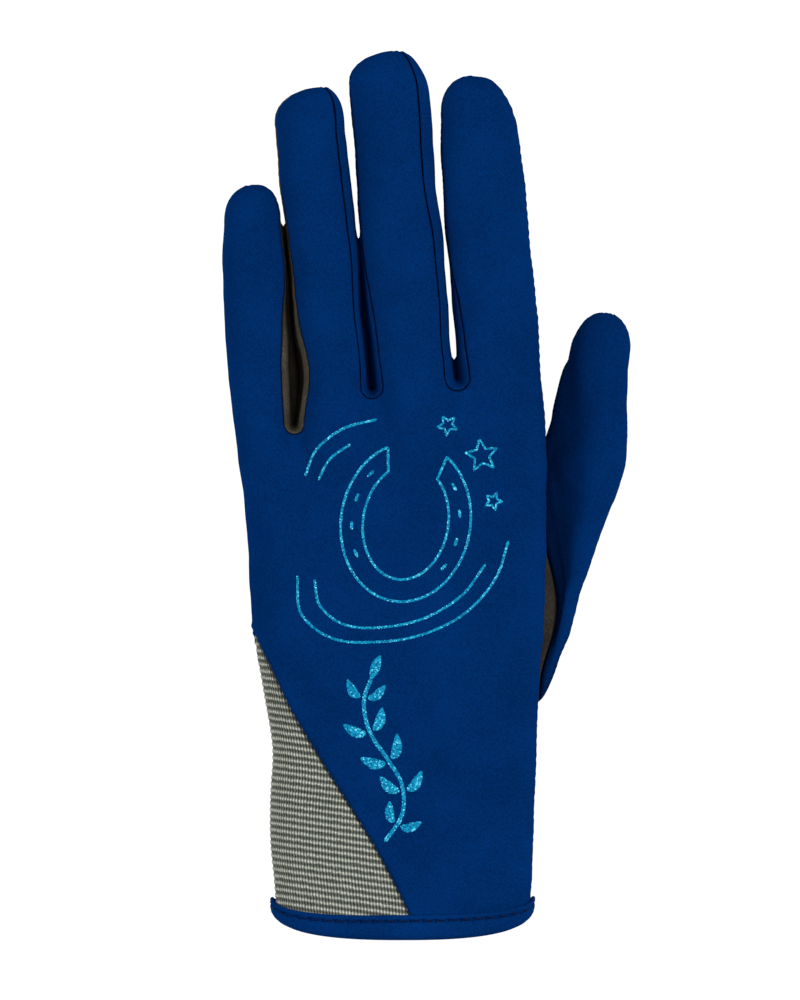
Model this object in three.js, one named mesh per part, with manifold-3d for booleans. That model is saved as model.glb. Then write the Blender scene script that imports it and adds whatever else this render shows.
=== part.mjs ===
import * as THREE from "three";
import { mergeVertices } from "three/addons/utils/BufferGeometryUtils.js";
import Module from "manifold-3d";

// A horse riding glove for the left hand, lying on its palm with the back of the hand up.
// Lengths are millimetres: +Y runs from the cuff to the fingertips, +X to the thumb, +Z up from
// what the glove lies on. The outer skin is worked out once, as rows of points that run round the
// hand, its fingers and its thumb. Every panel is the part of that skin between its seams, given
// a wall on its inner side. Sections are flat underneath, where the glove rests.

// Cloth, leather and seams
const CLOTH_WALL = 1.2;
const SUEDE_WALL = 1.2;
const SEAM_GAP = 0.3;

// The hem of the cuff: how far it dips between its ends, over and under the hand
const HEM_END = 8.7;
const HEM_DIP = 7.5;
const HEM_DIP_UNDER = 4;
const HEM_ROUNDNESS = 2.5;

// The binding folded over the hem, which narrows to a share of its height towards the sides
const BINDING_HEIGHT = 5.4;
const BINDING_NARROWING = 0.55;
const BINDING_WALL = 0.9;

// The palm
const PALM_HEIGHT = 27;
const PALM_UNDER_RADIUS = 10;
const PALM_ROUNDNESS = 2.7;

// The fingers: the gap at a fork and how high each fork lies
const FORK_GAP = 1;
const FORK_LITTLE_RING = 135.8;
const FORK_RING_MIDDLE = 145.3;
const FORK_MIDDLE_INDEX = 147.9;
const LITTLE_WIDTH = 15.3;
const LITTLE_LENGTH = 63.2;
const RING_WIDTH = 19.4;
const RING_LENGTH = 84;
const MIDDLE_WIDTH = 21.3;
const MIDDLE_LENGTH = 87.4;
const FOREFINGER_WIDTH = 21.7;
const FOREFINGER_LENGTH = 79.8;
const FINGER_HEIGHT = 13.5;
const FINGER_UNDER_RADIUS = 5;
const FINGER_ROUNDNESS = 2.4;

// The thumb, from the wrist end of the seam that joins it to the palm
const THUMB_ROOT = 62.6;
const THUMB_LENGTH = 104.3;
const THUMB_LEAN = 10.2;
const THUMB_HEIGHT = 14.5;
const THUMB_LIFT = 2.2;
const THUMB_SEAM_BULGE = 4.6;
const THUMB_UNDER_RADIUS = 5;
const THUMB_ROUNDNESS = 2.3;

// The elastic gusset: how high it reaches, and how far in at the hem, over and under the hand
const GUSSET_TOP = 81.6;
const GUSSET_REACH = 44.2;
const GUSSET_REACH_UNDER = 24;
const GUSSET_SAG = 1.3;

// Where the panels meet on the sides, in degrees above the widest line
const UNDER_SEAM = -58;
const THUMB_SEAM = 40;

// How high the widest line of a section lies, as a share of its height
const WIDEST = 0.48;

// Tips: how boxy they are, and how far round they go before the panels meet in a short line
const CAP_ROUNDNESS = 2.2;
const CAP_END = 0.93;

// How finely the skin is divided
const TOP_STEPS = 5;
const THUMB_TOP_STEPS = 8;
const UPPER_STEPS = 2;
const LOWER_STEPS = 3;
const SIDE_STEPS = UPPER_STEPS + LOWER_STEPS;
const FORK_STEPS = 4;
const SHAFT_STEPS = 6;
const CAP_STEPS = 4;
const GUSSET_STEPS = 8;

// Where the palm begins to swell into the knuckles, and where the cuff comes down to the floor,
// as shares of the way from the hem to the forks
const KNUCKLES_BEGIN = 0.7;
const CUFF_LOW_FROM = 0.06;
const CUFF_LOW_TO = 0.26;

// left and right are shares of half the width of the knuckles and the last two add up to 2.
// height is a share of PALM_HEIGHT, and share runs from the hem to the forks.
const PALM_SECTIONS = [
  { share: 0, left: 0.812, right: 0.844, height: 0.85 },
  { share: 0.06, left: 0.826, right: 0.862, height: 0.86 },
  { share: 0.14, left: 0.85, right: 0.874, height: 0.88 },
  { share: 0.23, left: 0.85, right: 0.882, height: 0.91 },
  { share: 0.33, left: 0.836, right: 0.894, height: 0.95 },
  { share: 0.44, left: 0.89, right: 0.914, height: 0.98 },
  { share: 0.55, left: 0.948, right: 0.938, height: 1 },
  { share: 0.66, left: 0.98, right: 0.949, height: 1 },
  { share: 0.76, left: 0.995, right: 0.951, height: 0.98 },
  { share: 0.85, left: 1.022, right: 0.951, height: 0.93 },
  { share: 0.93, left: 1.06, right: 0.942, height: 0.85 },
  { share: 1, left: 1.082, right: 0.918, height: 0.76 },
];

// left and right are shares of half the finger's width, out from its axis. seamLeft and seamRight
// are where its back meets the strips between the fingers, in degrees above the widest line. The
// tip rounds off over capLeft and capRight, which are shares of the width.
const FINGERS = [
  {
    width: LITTLE_WIDTH,
    length: LITTLE_LENGTH,
    lean: -2.5,
    capLeft: 0.68,
    capRight: 0.706,
    edges: [
      { share: 0, left: 1, right: 1, seamLeft: 40, seamRight: 48 },
      { share: 0.3, left: 1.12, right: 0.99, seamLeft: 40, seamRight: 46 },
      { share: 0.55, left: 1.185, right: 1, seamLeft: 40, seamRight: 36 },
      { share: 0.78, left: 1.15, right: 1.01, seamLeft: 38, seamRight: 14 },
      { share: 1, left: 1.04, right: 0.93, seamLeft: 36, seamRight: 10 },
    ],
  },
  {
    width: RING_WIDTH,
    length: RING_LENGTH,
    lean: -2.2,
    capLeft: 0.49,
    capRight: 0.619,
    edges: [
      { share: 0, left: 1, right: 1, seamLeft: 40, seamRight: 43 },
      { share: 0.15, left: 0.76, right: 0.96, seamLeft: 40, seamRight: 43 },
      { share: 0.3, left: 0.92, right: 0.88, seamLeft: 36, seamRight: 42 },
      { share: 0.5, left: 1.01, right: 0.855, seamLeft: 26, seamRight: 43 },
      { share: 0.75, left: 1.165, right: 0.76, seamLeft: 12, seamRight: 46 },
      { share: 1, left: 1.275, right: 0.62, seamLeft: 10, seamRight: 46 },
    ],
  },
  {
    width: MIDDLE_WIDTH,
    length: MIDDLE_LENGTH,
    lean: -3.3,
    capLeft: 0.352,
    capRight: 0.751,
    edges: [
      { share: 0, left: 1, right: 1, seamLeft: 46, seamRight: 44 },
      { share: 0.14, left: 1.03, right: 0.955, seamLeft: 40, seamRight: 42 },
      { share: 0.3, left: 1.1, right: 0.935, seamLeft: 34, seamRight: 40 },
      { share: 0.5, left: 1.125, right: 0.92, seamLeft: 14, seamRight: 44 },
      { share: 0.75, left: 1.14, right: 0.81, seamLeft: 10, seamRight: 50 },
      { share: 1, left: 1.15, right: 0.83, seamLeft: 10, seamRight: 50 },
    ],
  },
  {
    width: FOREFINGER_WIDTH,
    length: FOREFINGER_LENGTH,
    lean: -5.2,
    capLeft: 0.475,
    capRight: 0.825,
    edges: [
      { share: 0, left: 1, right: 1, seamLeft: 48, seamRight: 40 },
      { share: 0.12, left: 0.99, right: 1.02, seamLeft: 44, seamRight: 40 },
      { share: 0.3, left: 0.975, right: 1.05, seamLeft: 34, seamRight: 40 },
      { share: 0.5, left: 0.965, right: 1.045, seamLeft: 14, seamRight: 40 },
      { share: 0.75, left: 0.945, right: 1.04, seamLeft: 10, seamRight: 40 },
      { share: 1, left: 0.845, right: 0.995, seamLeft: 10, seamRight: 40 },
    ],
  },
];

// The thumb's two edges as shares of THUMB_LENGTH, up along its axis and out from it. Share 0 lies
// inside the palm, and 0.1 is the seam between the suede round the root and the cloth of the back.
const THUMB_EDGES = [
  { share: 0, leftUp: 0.596, leftOut: -0.174, rightUp: 0.009, rightOut: -0.082 },
  { share: 0.1, leftUp: 0.641, leftOut: -0.114, rightUp: -0.01, rightOut: 0.012 },
  { share: 0.24, leftUp: 0.69, leftOut: -0.097, rightUp: 0.135, rightOut: 0.038 },
  { share: 0.38, leftUp: 0.735, leftOut: -0.096, rightUp: 0.3, rightOut: 0.058 },
  { share: 0.52, leftUp: 0.785, leftOut: -0.094, rightUp: 0.46, rightOut: 0.08 },
  { share: 0.66, leftUp: 0.82, leftOut: -0.091, rightUp: 0.61, rightOut: 0.109 },
  { share: 0.84, leftUp: 0.845, leftOut: -0.087, rightUp: 0.75, rightOut: 0.092 },
  { share: 1, leftUp: 0.865, leftOut: -0.08, rightUp: 0.865, rightOut: 0.074 },
];

// height, lift and bulge are shares of THUMB_HEIGHT, THUMB_LIFT and THUMB_SEAM_BULGE.
const THUMB_SIZES = [
  { share: 0, height: 0.68, lift: 1, bulge: 0 },
  { share: 0.1, height: 0.7, lift: 0.7, bulge: 1 },
  { share: 0.24, height: 0.74, lift: 0.4, bulge: 0.4 },
  { share: 0.38, height: 0.8, lift: 0.15, bulge: 0.1 },
  { share: 0.52, height: 0.88, lift: 0, bulge: 0 },
  { share: 0.66, height: 0.96, lift: 0, bulge: 0 },
  { share: 0.84, height: 1, lift: 0, bulge: 0 },
  { share: 1, height: 0.98, lift: 0, bulge: 0 },
];

// How far the thumb's tip rounds off, as a share of THUMB_LENGTH
const THUMB_CAP = 0.135;

// The finish of each kind of panel
const LOOKS = {
  cloth: { color: 0x012f69, roughness: 0.85, metalness: 0 },
  suede: { color: 0x352f2a, roughness: 0.95, metalness: 0 },
  elastic: { color: 0x70756a, roughness: 0.9, metalness: 0 },
};

const wasm = await Module();
wasm.setup();

const mix = THREE.MathUtils.lerp;
const radians = THREE.MathUtils.degToRad;
const signedPower = (value, power) => Math.sign(value) * Math.abs(value) ** power;
const steps = (count) => Array.from({ length: count + 1 }, (_, i) => i / count);
const point = (plan, z) => new THREE.Vector3(plan.x, plan.y, z);

// The height of a rounded top, from 1 in the middle to 0 at either edge.
function dome(across, roundness) {
  return Math.max(0, 1 - Math.abs(across) ** roundness) ** (1 / roundness);
}

// A table's column at a share, on a smooth curve through its rows.
function read(table, share, column) {
  const last = table.length - 2;
  const k = Math.min(last, Math.max(0, table.findLastIndex((row) => row.share <= share)));
  const slope = (i) => {
    const [a, b] = [table[Math.max(0, i - 1)], table[Math.min(last + 1, i + 1)]];
    return (b[column] - a[column]) / (b.share - a.share);
  };
  const [from, to] = [table[k], table[k + 1]];
  const width = to.share - from.share;
  const t = (share - from.share) / width;
  const level = (1 + 2 * t) * (1 - t) ** 2 * from[column] + t * t * (3 - 2 * t) * to[column];
  return level + width * t * (1 - t) * ((1 - t) * slope(k) - t * slope(k + 1));
}

// A section between two plan points: a rounded top, round sides and a flat underside. Its four
// runs share their end points. inset is how far a point lies in from the section's edge.
function section({ left, right, top, side, floor, radius, roundness, seams, count, bulge = 0 }) {
  const half = left.distanceTo(right) / 2;
  const middle = left.clone().lerp(right, 0.5);
  const along = right.clone().sub(left).normalize();
  const ahead = new THREE.Vector2(-along.y, along.x);
  const under = Math.min(radius, 0.9 * half);
  const at = (out, z, upper) => {
    const share = (out / half + 1) / 2;
    const swell = bulge * Math.sin(Math.PI * share ** 1.75) ** 3;
    const plan = middle.clone().addScaledVector(along, out).addScaledVector(ahead, swell);
    return Object.assign(point(plan, z), { inset: half - Math.abs(out), upper });
  };
  const above = (degrees) => {
    const angle = radians(degrees);
    const out = half * signedPower(Math.cos(angle), 2 / roundness);
    return [out, side + (top - side) * signedPower(Math.sin(angle), 2 / roundness)];
  };
  const below = (degrees) => {
    const angle = radians(degrees);
    return [half - under * (1 - Math.cos(angle)), side + (side - floor) * Math.sin(angle)];
  };
  const sideRun = (seam, sign) => {
    const upper = steps(UPPER_STEPS).map((t) => above(seam * (1 - t)));
    const lower = steps(LOWER_STEPS).slice(1).map((t) => below(UNDER_SEAM * t));
    const sided = (points, isUpper) => points.map(([out, z]) => at(sign * out, z, isUpper));
    return [...sided(upper, true), ...sided(lower, false)];
  };
  const runs = { left: sideRun(seams.left, -1), right: sideRun(seams.right, 1) };
  const between = (first, last, place) =>
    steps(count).map((t, i) => (i === 0 ? first : i === count ? last : place(t, i)));
  runs.top = between(runs.left[0], runs.right[0], (t) =>
    at(...above(mix(180 - seams.left, seams.right, t)), true));
  runs.bottom = between(runs.left[SIDE_STEPS], runs.right[SIDE_STEPS], (_, i) =>
    at((half - under) * mix(-1, 1, (i - 1) / (count - 2)), floor, false));
  return runs;
}

// The last section of a tip, closed to the short line in which its panels meet.
function tipLine(left, right, z, count) {
  const line = steps(count).map((t) => point(left.clone().lerp(right, t), z));
  const corner = (p) => Array(SIDE_STEPS + 1).fill(p);
  return { top: line, bottom: line, left: corner(line[0]), right: corner(line[count]) };
}

// The rows round a finger or the thumb. edge gives how far up and out an edge lies at a share of
// the shaft, sizes gives the section there, and the last rows round off the tip.
function tube({ origin, lean, edge, sizes, shares, capLeft, capRight, count }) {
  const axis = new THREE.Vector2(Math.sin(radians(lean)), Math.cos(radians(lean)));
  const across = new THREE.Vector2(axis.y, -axis.x);
  const plan = (up, out) =>
    origin.clone().addScaledVector(axis, up).addScaledVector(across, out);
  const shaft = shares.map((share) => {
    const [left, right] = ["left", "right"].map((name) => plan(...edge(name, share)));
    return section({ left, right, count, ...sizes(share) });
  });
  const end = sizes(1);
  const cap = steps(CAP_STEPS).slice(1).map((t) => {
    const angle = radians(90 * CAP_END * t);
    const rise = Math.sin(angle) ** (2 / CAP_ROUNDNESS);
    const swell = Math.cos(angle) ** (2 / CAP_ROUNDNESS);
    const round = (name, length) => {
      const [up, out] = edge(name, 1);
      return plan(up + length * rise, out * swell);
    };
    const [left, right] = [round("left", capLeft), round("right", capRight)];
    if (t === 1) return tipLine(left, right, end.side, count);
    const top = mix(end.side, end.top, swell);
    return section({ left, right, count, ...end, top, floor: mix(end.side, end.floor, swell) });
  });
  return [...shaft, ...cap];
}

// A skin: faces between shared points, each marked with the panel that it belongs to.
class Skin {
  faces = [];

  // The quads between a run and the next one up the hand. A run on the top or on the right side
  // goes round the hand one way and the others go round it the other way, so they are turned.
  strip(panelOf, run, next, turned) {
    for (let i = 0; i + 1 < run.length; i++) {
      const corners = turned
        ? [run[i + 1], run[i], next[i], next[i + 1]]
        : [run[i], run[i + 1], next[i + 1], next[i]];
      const ring = corners.filter((p, k) => p !== corners[(k + 1) % 4]);
      this.faces.push({ panel: panelOf(i), ring });
    }
  }

  rows(panels, row, next) {
    this.strip(panels.top, row.top, next.top, false);
    this.strip(panels.right, row.right, next.right, false);
    this.strip(panels.bottom, row.bottom, next.bottom, true);
    this.strip(panels.left, row.left, next.left, true);
  }

  // The direction that faces out of the skin at each point.
  normals() {
    const normals = new Map();
    for (const { ring } of this.faces) {
      for (const [a, b, c] of fan(ring)) {
        const normal = b.clone().sub(a).cross(c.clone().sub(a));
        for (const p of ring) normals.set(p, (normals.get(p) ?? new THREE.Vector3()).add(normal));
      }
    }
    for (const normal of normals.values()) normal.normalize();
    return normals;
  }
}

const fan = ([first, ...rest]) => rest.slice(1).map((p, i) => [first, rest[i], p]);

// The edges of some faces that no other of them shares, each with its face on the left.
function openEdges(faces) {
  const names = new Map();
  const name = (p) => names.get(p) ?? names.set(p, names.size).get(p);
  const edges = new Map();
  for (const { ring } of faces)
    ring.forEach((a, i) => {
      const b = ring[(i + 1) % ring.length];
      if (!edges.delete(`${name(b)} ${name(a)}`)) edges.set(`${name(a)} ${name(b)}`, [a, b]);
    });
  return [...edges.values()];
}

// A closed solid from triangles whose corners are shared points.
function solid(triangles) {
  const places = new Map();
  const vertices = [];
  const index = (p) => {
    if (!places.has(p)) {
      places.set(p, places.size);
      vertices.push(p.x, p.y, p.z);
    }
    return places.get(p);
  };
  const triVerts = Uint32Array.from(triangles.flat().map(index));
  const vertProperties = Float32Array.from(vertices);
  return new wasm.Manifold(new wasm.Mesh({ numProp: 3, vertProperties, triVerts }));
}

// The whole body inside a skin, moved out by an offset and closed flat at its open end.
function bodyOf(skin, offset) {
  const normals = skin.normals();
  const moved = new Map();
  for (const [p, normal] of normals) moved.set(p, p.clone().addScaledVector(normal, offset));
  const open = openEdges(skin.faces);
  const centre = open.reduce((sum, [a]) => sum.add(moved.get(a)), new THREE.Vector3());
  centre.divideScalar(open.length);
  const shell = skin.faces.flatMap(({ ring }) => fan(ring).map((t) => t.map((p) => moved.get(p))));
  const lid = open.map(([a, b]) => [moved.get(b), moved.get(a), centre]);
  return solid([...shell, ...lid]);
}

// A panel: faces of a skin with a wall on the inner side, drawn in by half a seam's gap all round.
function sew(faces, normals, wall) {
  const open = openEdges(faces);
  const inward = new Map();
  for (const [a, b] of open)
    for (const p of [a, b]) {
      const way = normals.get(p).clone().cross(b.clone().sub(a)).normalize();
      inward.set(p, [...(inward.get(p) ?? []), way]);
    }
  const outer = new Map();
  const inner = new Map();
  for (const p of new Set(faces.flatMap(({ ring }) => ring))) {
    const place = p.clone();
    const ways = inward.get(p);
    if (ways) {
      const [first, second] = ways;
      const reach = SEAM_GAP / 2 / Math.max(0.4, 1 + first.dot(second));
      place.addScaledVector(first.clone().add(second), reach);
    }
    outer.set(p, place);
    inner.set(p, place.clone().addScaledVector(normals.get(p), -wall));
  }
  const triangles = faces.flatMap(({ ring }) => fan(ring));
  const outside = triangles.map((t) => t.map((p) => outer.get(p)));
  const inside = triangles.map(([a, b, c]) => [inner.get(c), inner.get(b), inner.get(a)]);
  const rims = open.flatMap(([a, b]) => fan([outer.get(b), outer.get(a), inner.get(a), inner.get(b)]));
  return solid([...outside, ...inside, ...rims]);
}

// A palm section's sizes at a share of the way from the hem to the forks. Near the hem it is
// lifted by the binding that goes under it.
const knuckleWidth = FINGERS.reduce((sum, f) => sum + f.width, (FINGERS.length - 1) * FORK_GAP);
const hemLift = SEAM_GAP + BINDING_WALL;

function palmAt(share) {
  const floor = hemLift * (1 - THREE.MathUtils.smoothstep(share, CUFF_LOW_FROM, CUFF_LOW_TO));
  const height = PALM_HEIGHT * read(PALM_SECTIONS, share, "height");
  return {
    left: (-knuckleWidth / 2) * read(PALM_SECTIONS, share, "left"),
    right: (knuckleWidth / 2) * read(PALM_SECTIONS, share, "right"),
    floor,
    side: floor + WIDEST * height,
    top: floor + height,
  };
}

// The height of a palm section where u runs from its left edge to its right one.
function palmHeight(palm, u, upper) {
  if (upper) return mix(palm.side, palm.top, dome(2 * u - 1, PALM_ROUNDNESS));
  const inset = Math.min(u, 1 - u) * (palm.right - palm.left);
  const bend = Math.max(0, 1 - inset / PALM_UNDER_RADIUS);
  return mix(palm.side, palm.floor, Math.sqrt(1 - bend ** 2));
}

// The fingers, side by side from the left, each from the forks on either side of it.
const knuckles = palmAt(1);
const forks = [
  FORK_LITTLE_RING,
  FORK_LITTLE_RING,
  FORK_RING_MIDDLE,
  FORK_MIDDLE_INDEX,
  FORK_MIDDLE_INDEX,
];
let fingerStart = knuckles.left;
const fingers = FINGERS.map((finger, i) => {
  const left = new THREE.Vector2(fingerStart, forks[i]);
  const right = new THREE.Vector2(fingerStart + finger.width, forks[i + 1]);
  fingerStart = right.x + FORK_GAP;
  const origin = left.clone().lerp(right, 0.5);
  const slant = origin.distanceTo(right) * Math.sin(right.clone().sub(left).angle() + radians(finger.lean));
  const rootTop = palmHeight(knuckles, (origin.x - knuckles.left) / knuckleWidth, true);
  const caps = { left: finger.width * finger.capLeft, right: finger.width * finger.capRight };
  return tube({
    origin,
    lean: finger.lean,
    shares: steps(SHAFT_STEPS),
    capLeft: caps.left,
    capRight: caps.right,
    count: TOP_STEPS,
    edge(name, share) {
      const sign = name === "left" ? -1 : 1;
      const up = mix(sign * slant, finger.length - caps[name], share);
      return [up, (sign * finger.width * read(finger.edges, share, name)) / 2];
    },
    sizes(share) {
      const settle = 1 - (1 - share) ** 2;
      return {
        top: mix(rootTop, FINGER_HEIGHT, settle),
        side: mix(knuckles.side, FINGER_HEIGHT * WIDEST, settle),
        floor: 0,
        radius: FINGER_UNDER_RADIUS,
        roundness: FINGER_ROUNDNESS,
        seams: {
          left: read(finger.edges, share, "seamLeft"),
          right: read(finger.edges, share, "seamRight"),
        },
      };
    },
  });
});

// The turn at a fork: the right side of one finger carried round into the left of the next.
const turns = fingers.slice(0, -1).map((finger, i) => {
  const from = finger[0].right;
  const to = fingers[i + 1][0].left;
  const edges = FINGERS.slice(0, i + 1).reduce((sum, f) => sum + f.width + FORK_GAP, knuckles.left);
  const centre = new THREE.Vector2(edges - FORK_GAP / 2, forks[i + 1]);
  const bearing = (run) => Math.atan2(run[0].y - centre.y, run[0].x - centre.x);
  const start = (bearing(from) + 2 * Math.PI) % (2 * Math.PI);
  const end = bearing(to) + 2 * Math.PI;
  return steps(FORK_STEPS).map((t) => {
    if (t === 0) return from;
    if (t === 1) return to;
    const way = new THREE.Vector2(1, 0).rotateAround(new THREE.Vector2(), mix(start, end, t));
    return from.map((p, k) => {
      const reach = FORK_GAP / 2 + mix(p.inset, to[k].inset, t);
      const plan = centre.clone().addScaledVector(way, reach);
      return Object.assign(point(plan, mix(p.z, to[k].z, t)), { upper: p.upper });
    });
  });
});

// The palm, in rows that run from the hem to the row where the fingers and the forks begin.
const knuckleRun = (name, level) =>
  fingers.flatMap((finger, i) => [
    ...finger[0][name],
    ...(turns[i]?.slice(1, -1) ?? []).map((run) => run[level]),
  ]);
const knuckleRow = {
  top: knuckleRun("top", 0),
  right: fingers.at(-1)[0].right,
  bottom: knuckleRun("bottom", SIDE_STEPS),
  left: fingers[0][0].left,
};

function palmRow(share, sideShare = share) {
  if (share === 1) return knuckleRow;
  const palm = palmAt(share);
  const swell = Math.max(0, (share - KNUCKLES_BEGIN) / (1 - KNUCKLES_BEGIN)) ** 2;
  const places = new Map();
  const place = (p) => {
    if (!places.has(p)) {
      const u = THREE.MathUtils.clamp((p.x - knuckles.left) / knuckleWidth, 0, 1);
      const bow = dome(2 * u - 1, HEM_ROUNDNESS);
      const hem = HEM_END - bow * (p.upper ? HEM_DIP : HEM_DIP_UNDER);
      const y = mix(hem, p.y, mix(sideShare, share, bow));
      const own = p.z - palmHeight(knuckles, u, p.upper);
      const z = palmHeight(palm, u, p.upper) + swell * own;
      places.set(p, new THREE.Vector3(mix(palm.left, palm.right, u), y, z));
    }
    return places.get(p);
  };
  const runs = Object.entries(knuckleRow).map(([name, run]) => [name, run.map(place)]);
  return Object.fromEntries(runs);
}

const bindingShare = BINDING_HEIGHT / (FORK_RING_MIDDLE - HEM_END + HEM_DIP);
const palm = [
  palmRow(0),
  palmRow(bindingShare, bindingShare * BINDING_NARROWING),
  ...PALM_SECTIONS.slice(1).map((row) => palmRow(row.share)),
];

// The hand's skin. The back wraps round the little finger's side to a seam underneath, and meets
// the palm along the widest line on the thumb's side.
const strips = ["fourchette_little_ring", "fourchette_ring_middle", "fourchette_middle_index"];
const only = (panel) => () => panel;
const parted = (upper, lower) => (i) => (i < UPPER_STEPS ? upper : lower);
const hand = new Skin();
const addRows = (rows, panels) => rows.slice(1).forEach((row, i) => hand.rows(panels, rows[i], row));
addRows(palm, {
  top: only("back_panel"),
  right: parted("back_panel", "palm_panel"),
  bottom: only("palm_panel"),
  left: only("back_panel"),
});
const palmFaces = [...hand.faces];
fingers.forEach((rows, i) =>
  addRows(rows, {
    top: only("back_panel"),
    right: strips[i] ? only(strips[i]) : parted("back_panel", "palm_panel"),
    bottom: only("palm_panel"),
    left: only(strips[i - 1] ?? "back_panel"),
  }));
turns.forEach((runs, i) =>
  runs.slice(1).forEach((run, k) => hand.strip(only(strips[i]), run, runs[k], false)));
const handNormals = hand.normals();

// The thumb's skin. All round its root it is suede, and further up only underneath.
const thumbRoot = new THREE.Vector2(
  palmAt((THUMB_ROOT - HEM_END) / (FORK_MIDDLE_INDEX - HEM_END)).right,
  THUMB_ROOT,
);
const thumbRows = tube({
  origin: thumbRoot,
  lean: THUMB_LEAN,
  shares: THUMB_EDGES.map((row) => row.share),
  capLeft: THUMB_CAP * THUMB_LENGTH,
  capRight: THUMB_CAP * THUMB_LENGTH,
  count: THUMB_TOP_STEPS,
  edge: (name, share) =>
    [`${name}Up`, `${name}Out`].map((column) => THUMB_LENGTH * read(THUMB_EDGES, share, column)),
  sizes(share) {
    const floor = THUMB_LIFT * read(THUMB_SIZES, share, "lift");
    const height = THUMB_HEIGHT * read(THUMB_SIZES, share, "height");
    return {
      floor,
      side: floor + WIDEST * height,
      top: floor + height,
      radius: THUMB_UNDER_RADIUS,
      roundness: THUMB_ROUNDNESS,
      seams: { left: THUMB_SEAM, right: THUMB_SEAM },
      bulge: THUMB_SEAM_BULGE * read(THUMB_SIZES, share, "bulge"),
    };
  },
});
const thumb = new Skin();
thumbRows.slice(1).forEach((row, i) => {
  const upper = i === 0 ? "thumb_palm" : "thumb_back";
  const sides = parted(upper, "thumb_palm");
  thumb.rows({ top: only(upper), right: sides, bottom: only("thumb_palm"), left: sides }, thumbRows[i], row);
});
const thumbNormals = thumb.normals();

// A prism over the elastic gusset, whose slanted side leaves a gap to it.
function gussetPrism(reach, gap, from, to) {
  const apex = palmAt((GUSSET_TOP - HEM_END) / (FORK_LITTLE_RING - HEM_END)).left;
  const slant = steps(GUSSET_STEPS).map((t) => [
    apex + reach * t - GUSSET_SAG * Math.sin(2 * Math.PI * t) + gap,
    mix(GUSSET_TOP, 0, t) + gap,
  ]);
  const beyond = 2 * GUSSET_TOP;
  const outline = [[apex - beyond, GUSSET_TOP + gap], ...slant];
  const below = [[apex + reach + gap, -beyond], [apex - beyond, -beyond]];
  const shape = new THREE.Shape([...outline, ...below].map(([x, y]) => new THREE.Vector2(x, y)));
  const prism = new THREE.ExtrudeGeometry(shape, { depth: to - from, bevelEnabled: false });
  return solidOf(prism.translate(0, 0, from));
}

function solidOf(geometry) {
  geometry.deleteAttribute("normal");
  geometry.deleteAttribute("uv");
  const { index, attributes } = mergeVertices(geometry);
  const vertProperties = Float32Array.from(attributes.position.array);
  const triVerts = Uint32Array.from(index.array);
  return new wasm.Manifold(new wasm.Mesh({ numProp: 3, vertProperties, triVerts }));
}

function gussetCutter(gap) {
  const split = WIDEST * PALM_HEIGHT;
  const over = gussetPrism(GUSSET_REACH, gap, split, 2 * PALM_HEIGHT);
  return over.add(gussetPrism(GUSSET_REACH_UNDER, gap, -PALM_HEIGHT, split + SEAM_GAP));
}

// The binding: a folded strip round the hem, with a slot that the panels' edges sit in.
function bindingSolid() {
  const ringOf = ({ top, right, bottom, left }) => [
    ...top,
    ...right.slice(1),
    ...[...bottom].reverse().slice(1),
    ...[...left].reverse().slice(1, -1),
  ];
  const [hem, edge] = [ringOf(palm[0]), ringOf(palm[1])];
  const [slot, fold] = [CLOTH_WALL + SEAM_GAP, SEAM_GAP + BINDING_WALL];
  const profiles = hem.map((low, i) => {
    const high = edge[i];
    const out = handNormals.get(low).clone().setY(0).normalize();
    const down = low.clone().sub(high).normalize();
    const at = (base, drop, reach) => base.clone().addScaledVector(down, drop).addScaledVector(out, reach);
    return [
      at(high, 0, fold),
      at(high, 0, SEAM_GAP),
      at(low, SEAM_GAP, SEAM_GAP),
      at(low, SEAM_GAP, -slot),
      at(high, 0, -slot),
      at(high, 0, -slot - BINDING_WALL),
      at(low, 0, -slot - BINDING_WALL),
      at(low, fold, -slot),
      at(low, fold, SEAM_GAP),
      at(low, 0, fold),
    ];
  });
  const triangles = profiles.flatMap((profile, i) => {
    const next = profiles[(i + 1) % profiles.length];
    return profile.flatMap((p, k) => {
      const q = (k + 1) % profile.length;
      return fan([p, next[k], next[q], profile[q]]);
    });
  });
  return solid(triangles);
}

const glove = new THREE.Group();

function add(name, shape, look) {
  const { vertProperties, triVerts } = shape.getMesh();
  const geometry = new THREE.BufferGeometry();
  geometry.setAttribute("position", new THREE.Float32BufferAttribute(vertProperties, 3));
  geometry.setIndex([...triVerts]);
  geometry.computeVertexNormals();
  const mesh = new THREE.Mesh(geometry, new THREE.MeshStandardMaterial(look));
  mesh.name = name;
  glove.add(mesh);
}

const panelOf = (skin, normals, name, wall) =>
  sew(skin.faces.filter((face) => face.panel === name), normals, wall);

// The hand: the panels make room for the gusset, and the palm for the thumb's mouth.
const gussetRoom = gussetCutter(SEAM_GAP / 2);
const thumbHollow = bodyOf(thumb, -SUEDE_WALL);
const back = panelOf(hand, handNormals, "back_panel", CLOTH_WALL);
const front = panelOf(hand, handNormals, "palm_panel", SUEDE_WALL);
add("back_panel", back.subtract(gussetRoom), LOOKS.cloth);
add("palm_panel", front.subtract(gussetRoom).subtract(thumbHollow), LOOKS.suede);
strips.forEach((name, i) =>
  add(name, panelOf(hand, handNormals, name, CLOTH_WALL), i === 0 ? LOOKS.suede : LOOKS.cloth));

// The thumb stops at the palm's surface.
const handRoom = bodyOf(hand, SEAM_GAP);
for (const [name, look, wall] of [
  ["thumb_back", LOOKS.cloth, CLOTH_WALL],
  ["thumb_palm", LOOKS.suede, SUEDE_WALL],
])
  add(name, panelOf(thumb, thumbNormals, name, wall).subtract(handRoom), look);

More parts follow.
